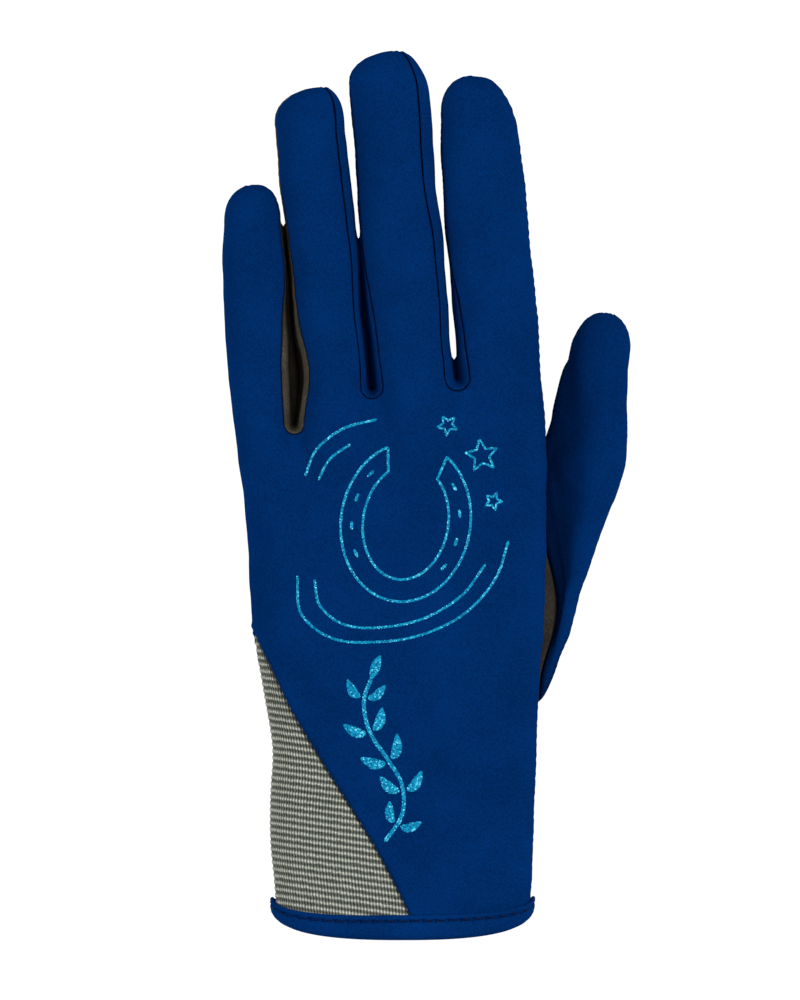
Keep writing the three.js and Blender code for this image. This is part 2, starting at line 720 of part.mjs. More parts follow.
// The cuff's elastic gusset and the binding of the hem
const cuff = sew(palmFaces, handNormals, CLOTH_WALL);
add("wrist_elastic", cuff.intersect(gussetCutter(-SEAM_GAP / 2)), LOOKS.elastic);
add("hem_binding", bindingSolid(), LOOKS.cloth);

// The origin is the middle of the box, on the surface that the glove lies on.
const box = new THREE.Box3().setFromObject(glove);
glove.position.set(-(box.min.x + box.max.x) / 2, -(box.min.y + box.max.y) / 2, -box.min.z);

export default glove;
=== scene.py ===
"""The looks of a horse riding glove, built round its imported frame.

The panels are worked out in millimetres in the pattern's own frame: X runs to the thumb, Y from the
hem to the fingertips and Z up from the floor. An object's mesh is moved into the frame's place and
metres when it is made. The skin has the CAD part's sections, divided more finely. Each panel is the
part of it between the seams, with a wall on its inner side.
"""

import math
import random

import bmesh
import bpy
import numpy as np
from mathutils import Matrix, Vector
from mathutils.bvhtree import BVHTree
from mathutils.kdtree import KDTree

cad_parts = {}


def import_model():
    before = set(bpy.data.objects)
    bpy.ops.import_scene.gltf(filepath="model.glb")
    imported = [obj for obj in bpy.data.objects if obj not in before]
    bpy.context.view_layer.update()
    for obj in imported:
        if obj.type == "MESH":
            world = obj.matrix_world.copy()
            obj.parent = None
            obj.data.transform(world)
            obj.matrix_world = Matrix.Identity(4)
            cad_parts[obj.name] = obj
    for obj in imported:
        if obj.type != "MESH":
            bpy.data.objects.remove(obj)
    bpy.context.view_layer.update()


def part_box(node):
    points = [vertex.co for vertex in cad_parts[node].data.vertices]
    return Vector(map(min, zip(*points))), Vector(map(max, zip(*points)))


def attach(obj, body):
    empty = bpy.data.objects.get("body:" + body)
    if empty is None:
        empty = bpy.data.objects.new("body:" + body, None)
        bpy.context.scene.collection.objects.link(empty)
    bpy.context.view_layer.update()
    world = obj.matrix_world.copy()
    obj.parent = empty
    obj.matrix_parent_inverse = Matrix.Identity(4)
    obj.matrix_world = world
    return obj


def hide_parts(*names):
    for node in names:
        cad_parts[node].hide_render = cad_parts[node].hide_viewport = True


MM = 0.001

STRIPS = ["fourchette_little_ring", "fourchette_ring_middle", "fourchette_middle_index"]

# Cloth, suede and seams
WALL = 1.2
SEAM_GAP = 0.3

# The hem of the cuff and its binding
HEM_END = 8.7
HEM_DIP = 7.5
HEM_DIP_UNDER = 4
HEM_ROUNDNESS = 2.5
BINDING_HEIGHT = 5.4
BINDING_NARROWING = 0.55
BINDING_WALL = 0.9

# The palm
PALM_HEIGHT = 27
PALM_UNDER_RADIUS = 10
PALM_ROUNDNESS = 2.7
KNUCKLES_BEGIN = 0.7
CUFF_LOW_FROM = 0.06
CUFF_LOW_TO = 0.26

# The fingers
FORK_GAP = 1
FORK_LITTLE_RING = 135.8
FORK_RING_MIDDLE = 145.3
FORK_MIDDLE_INDEX = 147.9
FINGER_HEIGHT = 13.5
FINGER_UNDER_RADIUS = 5
FINGER_ROUNDNESS = 2.4

# The thumb
THUMB_ROOT = 62.6
THUMB_LENGTH = 104.3
THUMB_LEAN = 10.2
THUMB_HEIGHT = 14.5
THUMB_LIFT = 2.2
THUMB_SEAM_BULGE = 4.6
THUMB_UNDER_RADIUS = 5
THUMB_ROUNDNESS = 2.3
THUMB_CAP = 0.135
THUMB_STRIP = 0.1

# The elastic gusset
GUSSET_TOP = 81.6
GUSSET_REACH = 44.2
GUSSET_REACH_UNDER = 24
GUSSET_SAG = 1.3

# Where the panels meet on the sides, in degrees above the widest line, and how high that line lies
UNDER_SEAM = -58
THUMB_SEAM = 40
WIDEST = 0.48

# Tips: how boxy they are, and how far round they go before the panels meet in a short line
CAP_ROUNDNESS = 2.2
CAP_END = 0.93

# How finely the skin is divided
TOP_STEPS = 28
THUMB_TOP_STEPS = 34
UPPER_STEPS = 9
LOWER_STEPS = 9
BEND_STEPS = 4
FLAT_STEPS = 12
FORK_STEPS = 12
SHAFT_STEPS = 90
CAP_STEPS = 16
PALM_STEPS = 170
PALM_CROWDING = 1.3
THUMB_ROOT_STEPS = 16
THUMB_SHAFT_STEPS = 100

# Below this share of the palm its columns are evenly spaced, and above it they crowd to the forks
EVEN_BELOW = 0.75

# Where the glove rests on the table: below this height its surface is never moved outwards
RESTING_BELOW = 3.0


def table(columns, *rows):
    """A table as one array for each of its named columns."""
    return {name: np.array([row[i] for row in rows], float) for i, name in enumerate(columns.split())}


# left and right are shares of half the knuckles' width, and height is a share of PALM_HEIGHT.
PALM_SECTIONS = table(
    "share left right height",
    (0, 0.812, 0.844, 0.85),
    (0.06, 0.826, 0.862, 0.86),
    (0.14, 0.85, 0.874, 0.88),
    (0.23, 0.85, 0.882, 0.91),
    (0.33, 0.836, 0.894, 0.95),
    (0.44, 0.89, 0.914, 0.98),
    (0.55, 0.948, 0.938, 1),
    (0.66, 0.98, 0.949, 1),
    (0.76, 0.995, 0.951, 0.98),
    (0.85, 1.022, 0.951, 0.93),
    (0.93, 1.06, 0.942, 0.85),
    (1, 1.082, 0.918, 0.76),
)

# left and right are shares of half the finger's width. The seams are in degrees above the widest
# line. The tip rounds off over cap_left and cap_right, which are shares of the width.
FINGER_COLUMNS = "share left right seam_left seam_right"
FINGERS = [
    {
        "width": 15.3, "length": 63.2, "lean": -2.5, "cap_left": 0.68, "cap_right": 0.706,
        "edges": table(
            FINGER_COLUMNS,
            (0, 1, 1, 40, 48),
            (0.3, 1.12, 0.99, 40, 46),
            (0.55, 1.185, 1, 40, 36),
            (0.78, 1.15, 1.01, 38, 14),
            (1, 1.04, 0.93, 36, 10),
        ),
    },
    {
        "width": 19.4, "length": 84, "lean": -2.2, "cap_left": 0.49, "cap_right": 0.619,
        "edges": table(
            FINGER_COLUMNS,
            (0, 1, 1, 40, 41),
            (0.15, 0.76, 0.96, 40, 42),
            (0.3, 0.92, 0.88, 36, 42),
            (0.5, 1.01, 0.855, 26, 43),
            (0.75, 1.165, 0.76, 12, 46),
            (1, 1.275, 0.62, 10, 46),
        ),
    },
    {
        "width": 21.3, "length": 87.4, "lean": -3.3, "cap_left": 0.352, "cap_right": 0.751,
        "edges": table(
            FINGER_COLUMNS,
            (0, 1, 1, 41, 44),
            (0.14, 1.03, 0.955, 39, 42),
            (0.3, 1.1, 0.935, 34, 40),
            (0.5, 1.125, 0.92, 14, 44),
            (0.75, 1.14, 0.81, 10, 50),
            (1, 1.15, 0.83, 10, 50),
        ),
    },
    {
        "width": 21.7, "length": 79.8, "lean": -5.2, "cap_left": 0.475, "cap_right": 0.825,
        "edges": table(
            FINGER_COLUMNS,
            (0, 1, 1, 48, 40),
            (0.12, 0.99, 1.02, 44, 40),
            (0.3, 0.975, 1.05, 34, 40),
            (0.5, 0.965, 1.045, 14, 40),
            (0.75, 0.945, 1.04, 10, 40),
            (1, 0.845, 0.995, 10, 40),
        ),
    },
]

# The thumb's two edges as shares of THUMB_LENGTH, up along its axis and out from it.
THUMB_EDGES = table(
    "share left_up left_out right_up right_out",
    (0, 0.596, -0.174, 0.009, -0.082),
    (0.1, 0.641, -0.114, 0, 0.002),
    (0.24, 0.69, -0.097, 0.135, 0.038),
    (0.38, 0.735, -0.096, 0.3, 0.058),
    (0.52, 0.785, -0.094, 0.46, 0.08),
    (0.66, 0.82, -0.091, 0.61, 0.109),
    (0.84, 0.845, -0.087, 0.75, 0.092),
    (1, 0.865, -0.08, 0.865, 0.074),
)
# sink is how much of its height the side towards the palm loses, and crest is where it is full.
THUMB_SIZES = table(
    "share height lift bulge sink crest",
    (0, 0.5, 1, 0, 0.5, 0.95),
    (0.1, 0.42, 0.7, 1, 0.6, 0.92),
    (0.24, 0.6, 0.4, 0.4, 0.66, 0.86),
    (0.38, 0.76, 0.15, 0.1, 0.7, 0.82),
    (0.52, 0.88, 0, 0, 0.72, 0.78),
    (0.66, 0.96, 0, 0, 0.72, 0.75),
    (0.84, 1, 0, 0, 0.7, 0.72),
    (1, 0.98, 0, 0, 0.55, 0.72),
)


def mix(a, b, t):
    return a + (b - a) * t


def smooth(low, high, value):
    t = np.clip((value - low) / (high - low), 0, 1)
    return t * t * (3 - 2 * t)


def hump(distance, width):
    return np.exp(-((distance / width) ** 2))


def signed_power(value, power):
    return np.sign(value) * np.abs(value) ** power


def dome(across, roundness):
    """The height of a rounded top, from 1 in the middle to 0 at either edge."""
    return np.maximum(0, 1 - np.abs(across) ** roundness) ** (1 / roundness)


def steps(count):
    return np.linspace(0, 1, count + 1)


def crowded(count):
    """Steps that crowd towards both ends, where the seams are."""
    return (1 - np.cos(np.pi * steps(count))) / 2


def lengths_along(line):
    """How far each point of a line lies from its start."""
    return np.concatenate([[0], np.cumsum(np.linalg.norm(np.diff(line, axis=0), axis=1))])


def resampled(line, lengths, places):
    """The points of a line at these lengths along it."""
    return np.column_stack([np.interp(places, lengths, line[:, k]) for k in range(3)])


def read(sheet, share, column):
    """A table's column at a share, or at an array of them, on a smooth curve through its rows."""
    at, value = sheet["share"], sheet[column]
    slope = np.gradient(value, at)
    slope[1:-1] = (value[2:] - value[:-2]) / (at[2:] - at[:-2])
    k = np.clip(np.searchsorted(at, share, side="right") - 1, 0, len(at) - 2)
    width = at[k + 1] - at[k]
    t = (share - at[k]) / width
    level = (1 + 2 * t) * (1 - t) ** 2 * value[k] + t * t * (3 - 2 * t) * value[k + 1]
    return level + width * t * (1 - t) * ((1 - t) * slope[k] - t * slope[k + 1])


# The columns of a skin's points
X, Y, Z, INSET, UPPER = range(5)


def section(left, right, sizes, count, bulge=0.0):
    """A section between two plan points: a rounded top, round sides and a flat underside. Its runs
    hold a row for each point: x, y, z, how far it lies in from the edge, and 1 on the upper half."""
    half = np.linalg.norm(right - left) / 2
    middle = (left + right) / 2
    along = (right - left) / (2 * half)
    ahead = np.array([-along[1], along[0]])
    under = min(sizes["radius"], 0.9 * half)
    side, top, floor, power = sizes["side"], sizes["top"], sizes["floor"], 2 / sizes["roundness"]

    def at(out, z, upper):
        share = np.clip((out / half + 1) / 2, 0, 1)
        swell = bulge * np.sin(np.pi * share**1.5) ** 3
        plan = middle + out[:, None] * along + swell[:, None] * ahead
        return np.column_stack([plan, z, half - np.abs(out), np.full(len(out), upper)])

    def above(degrees):
        angle = np.radians(degrees)
        return half * signed_power(np.cos(angle), power), mix(side, top, np.sin(angle) ** power)

    def below(degrees):
        angle = np.radians(degrees)
        return half - under * (1 - np.cos(angle)), mix(side, floor, -np.sin(angle))

    def side_run(seam, sign):
        out, z = above(seam * (1 - steps(UPPER_STEPS) ** 1.5))
        out_low, z_low = below(UNDER_SEAM * (1 - (1 - steps(LOWER_STEPS)[1:]) ** 1.4))
        return np.vstack([at(sign * out, z, 1), at(sign * out_low, z_low, 0)])

    bend_out, bend_z = below(mix(UNDER_SEAM, -90, steps(BEND_STEPS)[1:]))
    flat_out = (half - under) * mix(-1, 1, steps(FLAT_STEPS)[1:-1])
    seams = sizes["seams"]
    return {
        "left": side_run(seams["left"], -1),
        "right": side_run(seams["right"], 1),
        "top": at(*above(mix(180 - seams["left"], seams["right"], crowded(count)[1:-1])), 1),
        "bottom": np.vstack([
            at(-bend_out, bend_z, 0),
            at(flat_out, np.full(len(flat_out), float(floor)), 0),
            at(bend_out[::-1], bend_z[::-1], 0),
        ]),
    }


def tip_line(left, right, z, count):
    """The last section of a tip, closed to the short line in which its panels meet."""
    def line(shares):
        plan = left + shares[:, None] * (right - left)
        return np.column_stack([plan, np.full((len(shares), 3), (z, 0, 1))])

    bottom = crowded(2 * BEND_STEPS + FLAT_STEPS)[1:-1]
    return {
        "left": line(np.array([0.0])),
        "right": line(np.array([1.0])),
        "top": line(crowded(count)[1:-1]),
        "bottom": line(bottom),
    }


def tube(origin, lean, edge, sizes, shares, cap_left, cap_right, count):
    """The rows round a finger or the thumb. edge gives how far up and out an edge lies at a share of
    the shaft, sizes gives the section there, and the last rows round off the tip."""
    axis = np.array([math.sin(math.radians(lean)), math.cos(math.radians(lean))])
    across = np.array([axis[1], -axis[0]])

    def plan(up, out):
        return origin + up * axis + out * across

    rows = []
    for share in shares:
        size = sizes(share)
        left, right = plan(*edge("left", share)), plan(*edge("right", share))
        rows.append(section(left, right, size, count, size.get("bulge", 0.0)))
    end = sizes(1.0)
    for t in steps(CAP_STEPS)[1:]:
        angle = math.radians(90 * CAP_END * t)
        rise, swell = (f(angle) ** (2 / CAP_ROUNDNESS) for f in (math.sin, math.cos))
        ends = []
        for name, length in (("left", cap_left), ("right", cap_right)):
            up, out = edge(name, 1.0)
            ends.append(plan(up + length * rise, out * swell))
        if t == 1:
            rows.append(tip_line(*ends, end["side"], count))
            continue
        heights = {name: mix(end["side"], end[name], swell) for name in ("top", "floor")}
        rows.append(section(*ends, {**end, **heights}, count))
    return rows


class Skin:
    """Faces between shared points, each marked with the panel that it belongs to."""

    def __init__(self):
        self.blocks = []
        self.count = 0
        self.faces = {}

    def put(self, points):
        first = self.count
        self.blocks.append(points)
        self.count += len(points)
        return np.arange(first, self.count)

    def points(self):
        return np.vstack(self.blocks)

    def row(self, runs):
        """A section's points, as runs of their numbers. At a tip line a side run is one point."""
        sides = {}
        for name in ("left", "right"):
            numbers = self.put(runs[name])
            length = UPPER_STEPS + LOWER_STEPS + 1
            sides[name] = numbers if len(numbers) == length else np.repeat(numbers, length)
        left, right = sides["left"], sides["right"]
        return {
            **sides,
            "top": np.concatenate([left[:1], self.put(runs["top"]), right[:1]]),
            "bottom": np.concatenate([left[-1:], self.put(runs["bottom"]), right[-1:]]),
        }

    def strip(self, panel, run, following, turned):
        """The quads between a run and the next one up the hand. A side has an upper and a lower
        panel. The left and the underside go round the hand the other way, so they are turned."""
        quads = np.column_stack([run[:-1], run[1:], following[1:], following[:-1]])
        if turned:
            quads = quads[:, [1, 0, 3, 2]]
        upper, lower = panel if isinstance(panel, tuple) else (panel, panel)
        self.faces.setdefault(upper, []).extend(quads[:UPPER_STEPS] if isinstance(panel, tuple) else quads)
        if isinstance(panel, tuple):
            self.faces.setdefault(lower, []).extend(quads[UPPER_STEPS:])

    def rows(self, panels, row, following):
        for name, turned in (("top", False), ("right", False), ("bottom", True), ("left", True)):
            self.strip(panels[name], row[name], following[name], turned)


# The palm's sections
KNUCKLE_WIDTH = sum(finger["width"] for finger in FINGERS) + (len(FINGERS) - 1) * FORK_GAP
HEM_LIFT = SEAM_GAP + BINDING_WALL


def palm_at(share):
    floor = HEM_LIFT * (1 - smooth(CUFF_LOW_FROM, CUFF_LOW_TO, share))
    height = PALM_HEIGHT * read(PALM_SECTIONS, share, "height")
    return {
        "left": -KNUCKLE_WIDTH / 2 * read(PALM_SECTIONS, share, "left"),
        "right": KNUCKLE_WIDTH / 2 * read(PALM_SECTIONS, share, "right"),
        "floor": floor,
        "side": floor + WIDEST * height,
        "top": floor + height,
    }


def palm_height(palm, u, upper):
    """The height of a palm section where u runs from its left edge to its right one."""
    high = mix(palm["side"], palm["top"], dome(2 * u - 1, PALM_ROUNDNESS))
    inset = np.minimum(u, 1 - u) * (palm["right"] - palm["left"])
    bend = np.maximum(0, 1 - inset / PALM_UNDER_RADIUS)
    low = mix(palm["side"], palm["floor"], np.sqrt(1 - bend**2))
    return np.where(upper > 0, high, low)


KNUCKLES = palm_at(1.0)
FORKS = [FORK_LITTLE_RING, FORK_LITTLE_RING, FORK_RING_MIDDLE, FORK_MIDDLE_INDEX, FORK_MIDDLE_INDEX]


def knuckle_line():
    """The knuckles' height up the hand from its left edge to its right one, through the forks."""
    edges = np.cumsum([finger["width"] + FORK_GAP for finger in FINGERS])[:-1] - FORK_GAP / 2
    return table("share level", (0, FORKS[0]), *zip(edges / KNUCKLE_WIDTH, FORKS[1:-1]), (1, FORKS[-1]))


KNUCKLE_LINE = knuckle_line()


def finger_rows():
    """The four fingers' rows, from the little finger's, each from the forks on either side of it."""
    start = KNUCKLES["left"]
    fingers = []
    for i, finger in enumerate(FINGERS):
        left = np.array([start, FORKS[i]])
        right = np.array([start + finger["width"], FORKS[i + 1]])
        start = right[0] + FORK_GAP
        origin = (left + right) / 2
        tilt = math.atan2(*(right - left)[::-1]) + math.radians(finger["lean"])
        slant = np.linalg.norm(right - origin) * math.sin(tilt)
        root_top = palm_height(KNUCKLES, (origin[0] - KNUCKLES["left"]) / KNUCKLE_WIDTH, 1)
        caps = {name: finger["width"] * finger[f"cap_{name}"] for name in ("left", "right")}

        def edge(name, share, finger=finger, slant=slant, caps=caps):
            sign = -1 if name == "left" else 1
            up = mix(sign * slant, finger["length"] - caps[name], share)
            return up, sign * finger["width"] * read(finger["edges"], share, name) / 2

        def sizes(share, finger=finger, root_top=root_top):
            settle = 1 - (1 - share) ** 2
            return {
                "top": mix(root_top, FINGER_HEIGHT, settle),
                "side": mix(KNUCKLES["side"], FINGER_HEIGHT * WIDEST, settle),
                "floor": 0.0,
                "radius": FINGER_UNDER_RADIUS,
                "roundness": FINGER_ROUNDNESS,
                "seams": {n: read(finger["edges"], share, f"seam_{n}") for n in ("left", "right")},
            }

        shares = steps(SHAFT_STEPS) ** 1.15
        rows = tube(origin, finger["lean"], edge, sizes, shares, caps["left"], caps["right"], TOP_STEPS)
        fingers.append(rows)
    return fingers


# The facing walls of neighbouring fingers lean together below the widest line and meet near the
# floor, from the fork up the hand as far as closed_to. near is the share of the gap that the one
# nearer the little finger's side reaches over.
CONTACTS = table("closed_to near", (191, 0.65), (188, 0.5), (156, 0.5))
CLOSING_ENDS = 4.0
PRESS = 0.8
MEET_BELOW = 0.25
FORK_CLOSED_TO = 0.06


def leaning(run):
    """How much of its reach a wall has at its points from the widest line down."""
    height = run[UPPER_STEPS:, Z] / run[UPPER_STEPS, Z]
    return np.minimum(1, (1 - height) / (1 - MEET_BELOW))


def close_gaps(fingers):
    """Leans the facing lower walls of neighbouring fingers over until they touch."""
    for i, (limit, share) in enumerate(zip(*CONTACTS.values())):
        near = [row["right"] for row in fingers[i] if len(row["right"]) > 1]
        far = [row["left"] for row in fingers[i + 1] if len(row["left"]) > 1]
        edges = [np.array([run[UPPER_STEPS, :2] for run in runs]) for runs in (near, far)]
        for runs, own, other, sign in ((near, edges[0], edges[1], 1), (far, edges[1], edges[0], -1)):
            for run, edge in zip(runs, own):
                y = edge[1]
                gap = sign * (np.interp(y, other[:, 1], other[:, 0]) - edge[0])
                closing = 1 - smooth(limit - CLOSING_ENDS, limit, y)
                part = share if sign > 0 else 1 - share
                low = run[UPPER_STEPS:]
                target = edge[0] + sign * (gap * part + PRESS / 2)
                low[:, X] = mix(low[:, X], target, leaning(run) * closing)


def hand_skin():
    """The hand's skin, the runs of its knuckle row, and its points."""
    fingers = finger_rows()
    webs = []
    edge = KNUCKLES["left"]
    for i, (one, other) in enumerate(zip(fingers, fingers[1:])):
        edge += FINGERS[i]["width"] + FORK_GAP
        centre = np.array([edge - FORK_GAP / 2, FORKS[i + 1]])
        start_run, end_run = one[0]["right"], other[0]["left"]
        bearings = [math.atan2(*(run[0, :2] - centre)[::-1]) for run in (start_run, end_run)]
        start, end = bearings[0] % (2 * math.pi), bearings[1] + 2 * math.pi
        runs = []
        for t in steps(FORK_STEPS)[1:-1]:
            way = np.array([math.cos(mix(start, end, t)), math.sin(mix(start, end, t))])
            run = mix(start_run, end_run, t)
            radius = FORK_GAP / 2 + run[:, INSET]
            low = radius[UPPER_STEPS:]
            low[:] = mix(low, FORK_CLOSED_TO, leaning(run))
            run[:, :2] = centre + radius[:, None] * way
            run[:, UPPER] = start_run[:, UPPER]
            runs.append(run)
        webs.append(runs)
    close_gaps(fingers)

    skin = Skin()
    rows = [[skin.row(runs) for runs in finger] for finger in fingers]
    turns = []
    for i, runs in enumerate(webs):
        turns.append([rows[i][0]["right"], *[skin.put(run) for run in runs], rows[i + 1][0]["left"]])

    def knuckle_run(name, level):
        parts = []
        for i, finger in enumerate(rows):
            parts.append(finger[0][name])
            if i < len(turns):
                parts.append(np.array([run[level] for run in turns[i][1:-1]]))
        return np.concatenate(parts)

    knuckle_row = {
        "top": knuckle_run("top", 0),
        "right": rows[-1][0]["right"],
        "bottom": knuckle_run("bottom", -1),
        "left": rows[0][0]["left"],
    }
    knuckle_points = skin.points()
    across = np.clip((knuckle_points[:, X] - KNUCKLES["left"]) / KNUCKLE_WIDTH, 0, 1)
    even = across.copy()
    for name in ("top", "bottom"):
        run = knuckle_row[name]
        across[run] = np.maximum.accumulate(across[run])
        even[run] = np.linspace(across[run[0]], across[run[-1]], len(run))
    palm = []
    for share in 1 - (1 - steps(PALM_STEPS)[:-1]) ** PALM_CROWDING:
        places = {}
        row = {}
        u = mix(even, across, smooth(EVEN_BELOW, 1, share))
        for name, run in knuckle_row.items():
            fresh = [n for n in run if n not in places]
            places.update(zip(fresh, skin.put(palm_points(knuckle_points[fresh], u[fresh], share))))
            row[name] = np.array([places[n] for n in run])
        palm.append(row)
    palm.append(knuckle_row)

    sides = {
        "top": "back_panel",
        "right": ("back_panel", "palm_panel"),
        "bottom": "palm_panel",
        "left": "back_panel",
    }
    for row, following in zip(palm, palm[1:]):
        skin.rows(sides, row, following)
    for i, finger in enumerate(rows):
        panels = dict(sides)
        if i > 0:
            panels["left"] = STRIPS[i - 1]
        if i < len(STRIPS):
            panels["right"] = STRIPS[i]
        for row, following in zip(finger, finger[1:]):
            skin.rows(panels, row, following)
    for strip, runs in zip(STRIPS, turns):
        for run, following in zip(runs[1:], runs):
            skin.strip(strip, run, following, False)
    return skin, {name: knuckle_points[run] for name, run in knuckle_row.items()}


def palm_points(knuckles, u, share, side_share=None):
    """The points of a palm row that lie below these points of the knuckle row, at these shares u of
    its width. The forks' dips and bumps fade out below the knuckles."""
    palm = palm_at(share)
    swell = max(0, (share - KNUCKLES_BEGIN) / (1 - KNUCKLES_BEGIN)) ** 2
    place = np.clip((knuckles[:, X] - KNUCKLES["left"]) / KNUCKLE_WIDTH, 0, 1)
    upper = knuckles[:, UPPER]
    bow = dome(2 * u - 1, HEM_ROUNDNESS)
    hem = HEM_END - bow * np.where(upper > 0, HEM_DIP, HEM_DIP_UNDER)
    low_share = share if side_share is None else side_share
    level = mix(hem, read(KNUCKLE_LINE, u, "level"), mix(low_share, share, bow))
    dip = knuckles[:, Y] - read(KNUCKLE_LINE, place, "level")
    bump = knuckles[:, Z] - palm_height(KNUCKLES, place, upper)
    return np.column_stack([
        mix(palm["left"], palm["right"], u),
        level + swell * dip,
        palm_height(palm, u, upper) + swell * bump,
        knuckles[:, INSET],
        upper,
    ])


def ring_points(ring, share, side_share=None):
    """The palm's points at a share of the way up it, round a ring of the knuckle row's points."""
    u = np.clip((ring[:, X] - KNUCKLES["left"]) / KNUCKLE_WIDTH, 0, 1)
    return palm_points(ring, u, share, side_share)[:, :3]


def thumb_skin():
    """The thumb's skin. All round its root it is suede, and further up only underneath."""
    palm = palm_at((THUMB_ROOT - HEM_END) / (FORK_MIDDLE_INDEX - HEM_END))

    def edge(name, share):
        return [THUMB_LENGTH * read(THUMB_EDGES, share, f"{name}_{way}") for way in ("up", "out")]

    def sizes(share):
        floor = THUMB_LIFT * read(THUMB_SIZES, share, "lift")
        height = THUMB_HEIGHT * read(THUMB_SIZES, share, "height")
        return {
            "floor": floor,
            "side": floor + WIDEST * height,
            "top": floor + height,
            "radius": THUMB_UNDER_RADIUS,
            "roundness": THUMB_ROUNDNESS,
            "seams": {"left": THUMB_SEAM, "right": THUMB_SEAM},
            "bulge": THUMB_SEAM_BULGE * read(THUMB_SIZES, share, "bulge"),
        }

    root = THUMB_STRIP * (1 - (1 - steps(THUMB_ROOT_STEPS)) ** 1.4)
    shares = np.concatenate([root, mix(THUMB_STRIP, 1, steps(THUMB_SHAFT_STEPS)[1:] ** 1.3)])
    cap = THUMB_CAP * THUMB_LENGTH
    origin = np.array([palm["right"], THUMB_ROOT])
    skin = Skin()
    sections = tube(origin, THUMB_LEAN, edge, sizes, shares, cap, cap, THUMB_TOP_STEPS)
    fades = np.concatenate([np.ones(len(shares)), 1 - steps(CAP_STEPS)[1:] ** 2])
    for i, (runs, fade) in enumerate(zip(sections, fades)):
        share = shares[min(i, len(shares) - 1)]
        lean_over(runs, fade * read(THUMB_SIZES, share, "sink"), read(THUMB_SIZES, share, "crest"))
    rows = [skin.row(runs) for runs in sections]
    for i, (row, following) in enumerate(zip(rows, rows[1:])):
        upper = "thumb_palm" if shares[min(i + 1, len(shares) - 1)] <= THUMB_STRIP else "thumb_back"
        sides = (upper, "thumb_palm")
        skin.rows({"top": upper, "right": sides, "bottom": "thumb_palm", "left": sides}, row, following)
    return skin


def lean_over(runs, sink, crest):
    """Lets a section's left side sink by this share of its height, up to the crest."""
    left, right = (runs[name][min(UPPER_STEPS, len(runs[name]) - 1), :2] for name in ("left", "right"))
    along = right - left
    for run in runs.values():
        u = (run[:, :2] - left) @ along / (along @ along)
        run[:, Z] *= 1 - sink * (1 - np.clip(u / crest, 0, 1)) ** 1.5


def face_lists(quads):
    """Faces as lists of point numbers, with a quad that shares two corners as a triangle."""
    faces = []
    for quad in quads:
        ring = [int(n) for k, n in enumerate(quad) if n != quad[k - 1]]
        if len(set(ring)) > 2:
            faces.append(ring)
    return faces


# The gusset's slanted edge
GUSSET_APEX = palm_at((GUSSET_TOP - HEM_END) / (FORK_LITTLE_RING - HEM_END))["left"]


def gusset_edge(y, over):
    """X of the gusset's edge at a height up the hand, over the hand at 1 and under it at 0."""
    t = 1 - y / GUSSET_TOP
    sag = GUSSET_SAG * np.sin(2 * np.pi * np.clip(t, 0, 1))
    return GUSSET_APEX + mix(GUSSET_REACH_UNDER, GUSSET_REACH, over) * t - sag


def gusset_over(z):
    return smooth(WIDEST * PALM_HEIGHT - 2, WIDEST * PALM_HEIGHT + 2, z)


def cut_gusset(points, faces, tags):
    """The faces without the gusset's, cut along its edge. The points are warped so that the edge is
    flat while they are cut."""
    mesh = bmesh.new()
    warped = points[:, :3].copy()
    warped[:, X] -= gusset_edge(points[:, Y], gusset_over(points[:, Z]))
    vertices = [mesh.verts.new(p) for p in warped]
    for face, tag in zip(faces, tags):
        mesh.faces.new([vertices[n] for n in face]).material_index = tag
    geometry = [*mesh.verts, *mesh.edges, *mesh.faces]
    bmesh.ops.bisect_plane(
        mesh, geom=geometry, dist=1e-4, plane_co=(0, 0, 0), plane_no=(1, 0, 0), clear_inner=True)
    mesh.verts.index_update()
    kept = np.array([v.co for v in mesh.verts])
    kept[:, X] += gusset_edge(kept[:, Y], gusset_over(kept[:, Z]))
    faces = [[v.index for v in face.verts] for face in mesh.faces]
    tags = [face.material_index for face in mesh.faces]
    mesh.free()
    return kept, faces, tags


def point_normals(points, faces):
    """The direction that faces out of the skin at each point, weighted by area."""
    normals = np.zeros_like(points)
    triangles = np.array([(f[0], f[k], f[k + 1]) for f in faces for k in range(1, len(f) - 1)])
    a, b, c = (points[triangles[:, k]] for k in range(3))
    areas = np.cross(b - a, c - a)
    for k in range(3):
        np.add.at(normals, triangles[:, k], areas)
    return normals / np.maximum(np.linalg.norm(normals, axis=1), 1e-12)[:, None]


def edge_owners(faces, tags):
    owners = {}
    for face, tag in zip(faces, tags):
        for k, n in enumerate(face):
            m = face[(k + 1) % len(face)]
            owners.setdefault((min(n, m), max(n, m)), []).append(tag)
    return owners


SEAM_SAMPLE = 0.25


def along_edges(points, edges):
    """Evenly spaced points along some edges."""
    samples = []
    for n, m in edges:
        length = np.linalg.norm(points[m] - points[n])
        count = max(1, math.ceil(length / SEAM_SAMPLE))
        samples.append(mix(points[n], points[m], (np.arange(count) / count)[:, None]))
    return np.vstack(samples)


def distances(points, samples, reach):
    """How far each point lies from the nearest sample, up to a reach."""
    tree = KDTree(len(samples))
    for i, sample in enumerate(samples):
        tree.insert(sample, i)
    tree.balance()
    low, high = samples.min(0) - reach, samples.max(0) + reach
    near = np.all((points > low) & (points < high), axis=1)
    found = np.full(len(points), float(reach))
    found[near] = [min(reach, tree.find(p)[2]) for p in points[near]]
    return found


def depth_in(tree, centre):
    """How deep a place lies inside the skin that a tree holds."""
    place, normal, _, _ = tree.find_nearest(centre)
    return (place - centre).dot(normal)


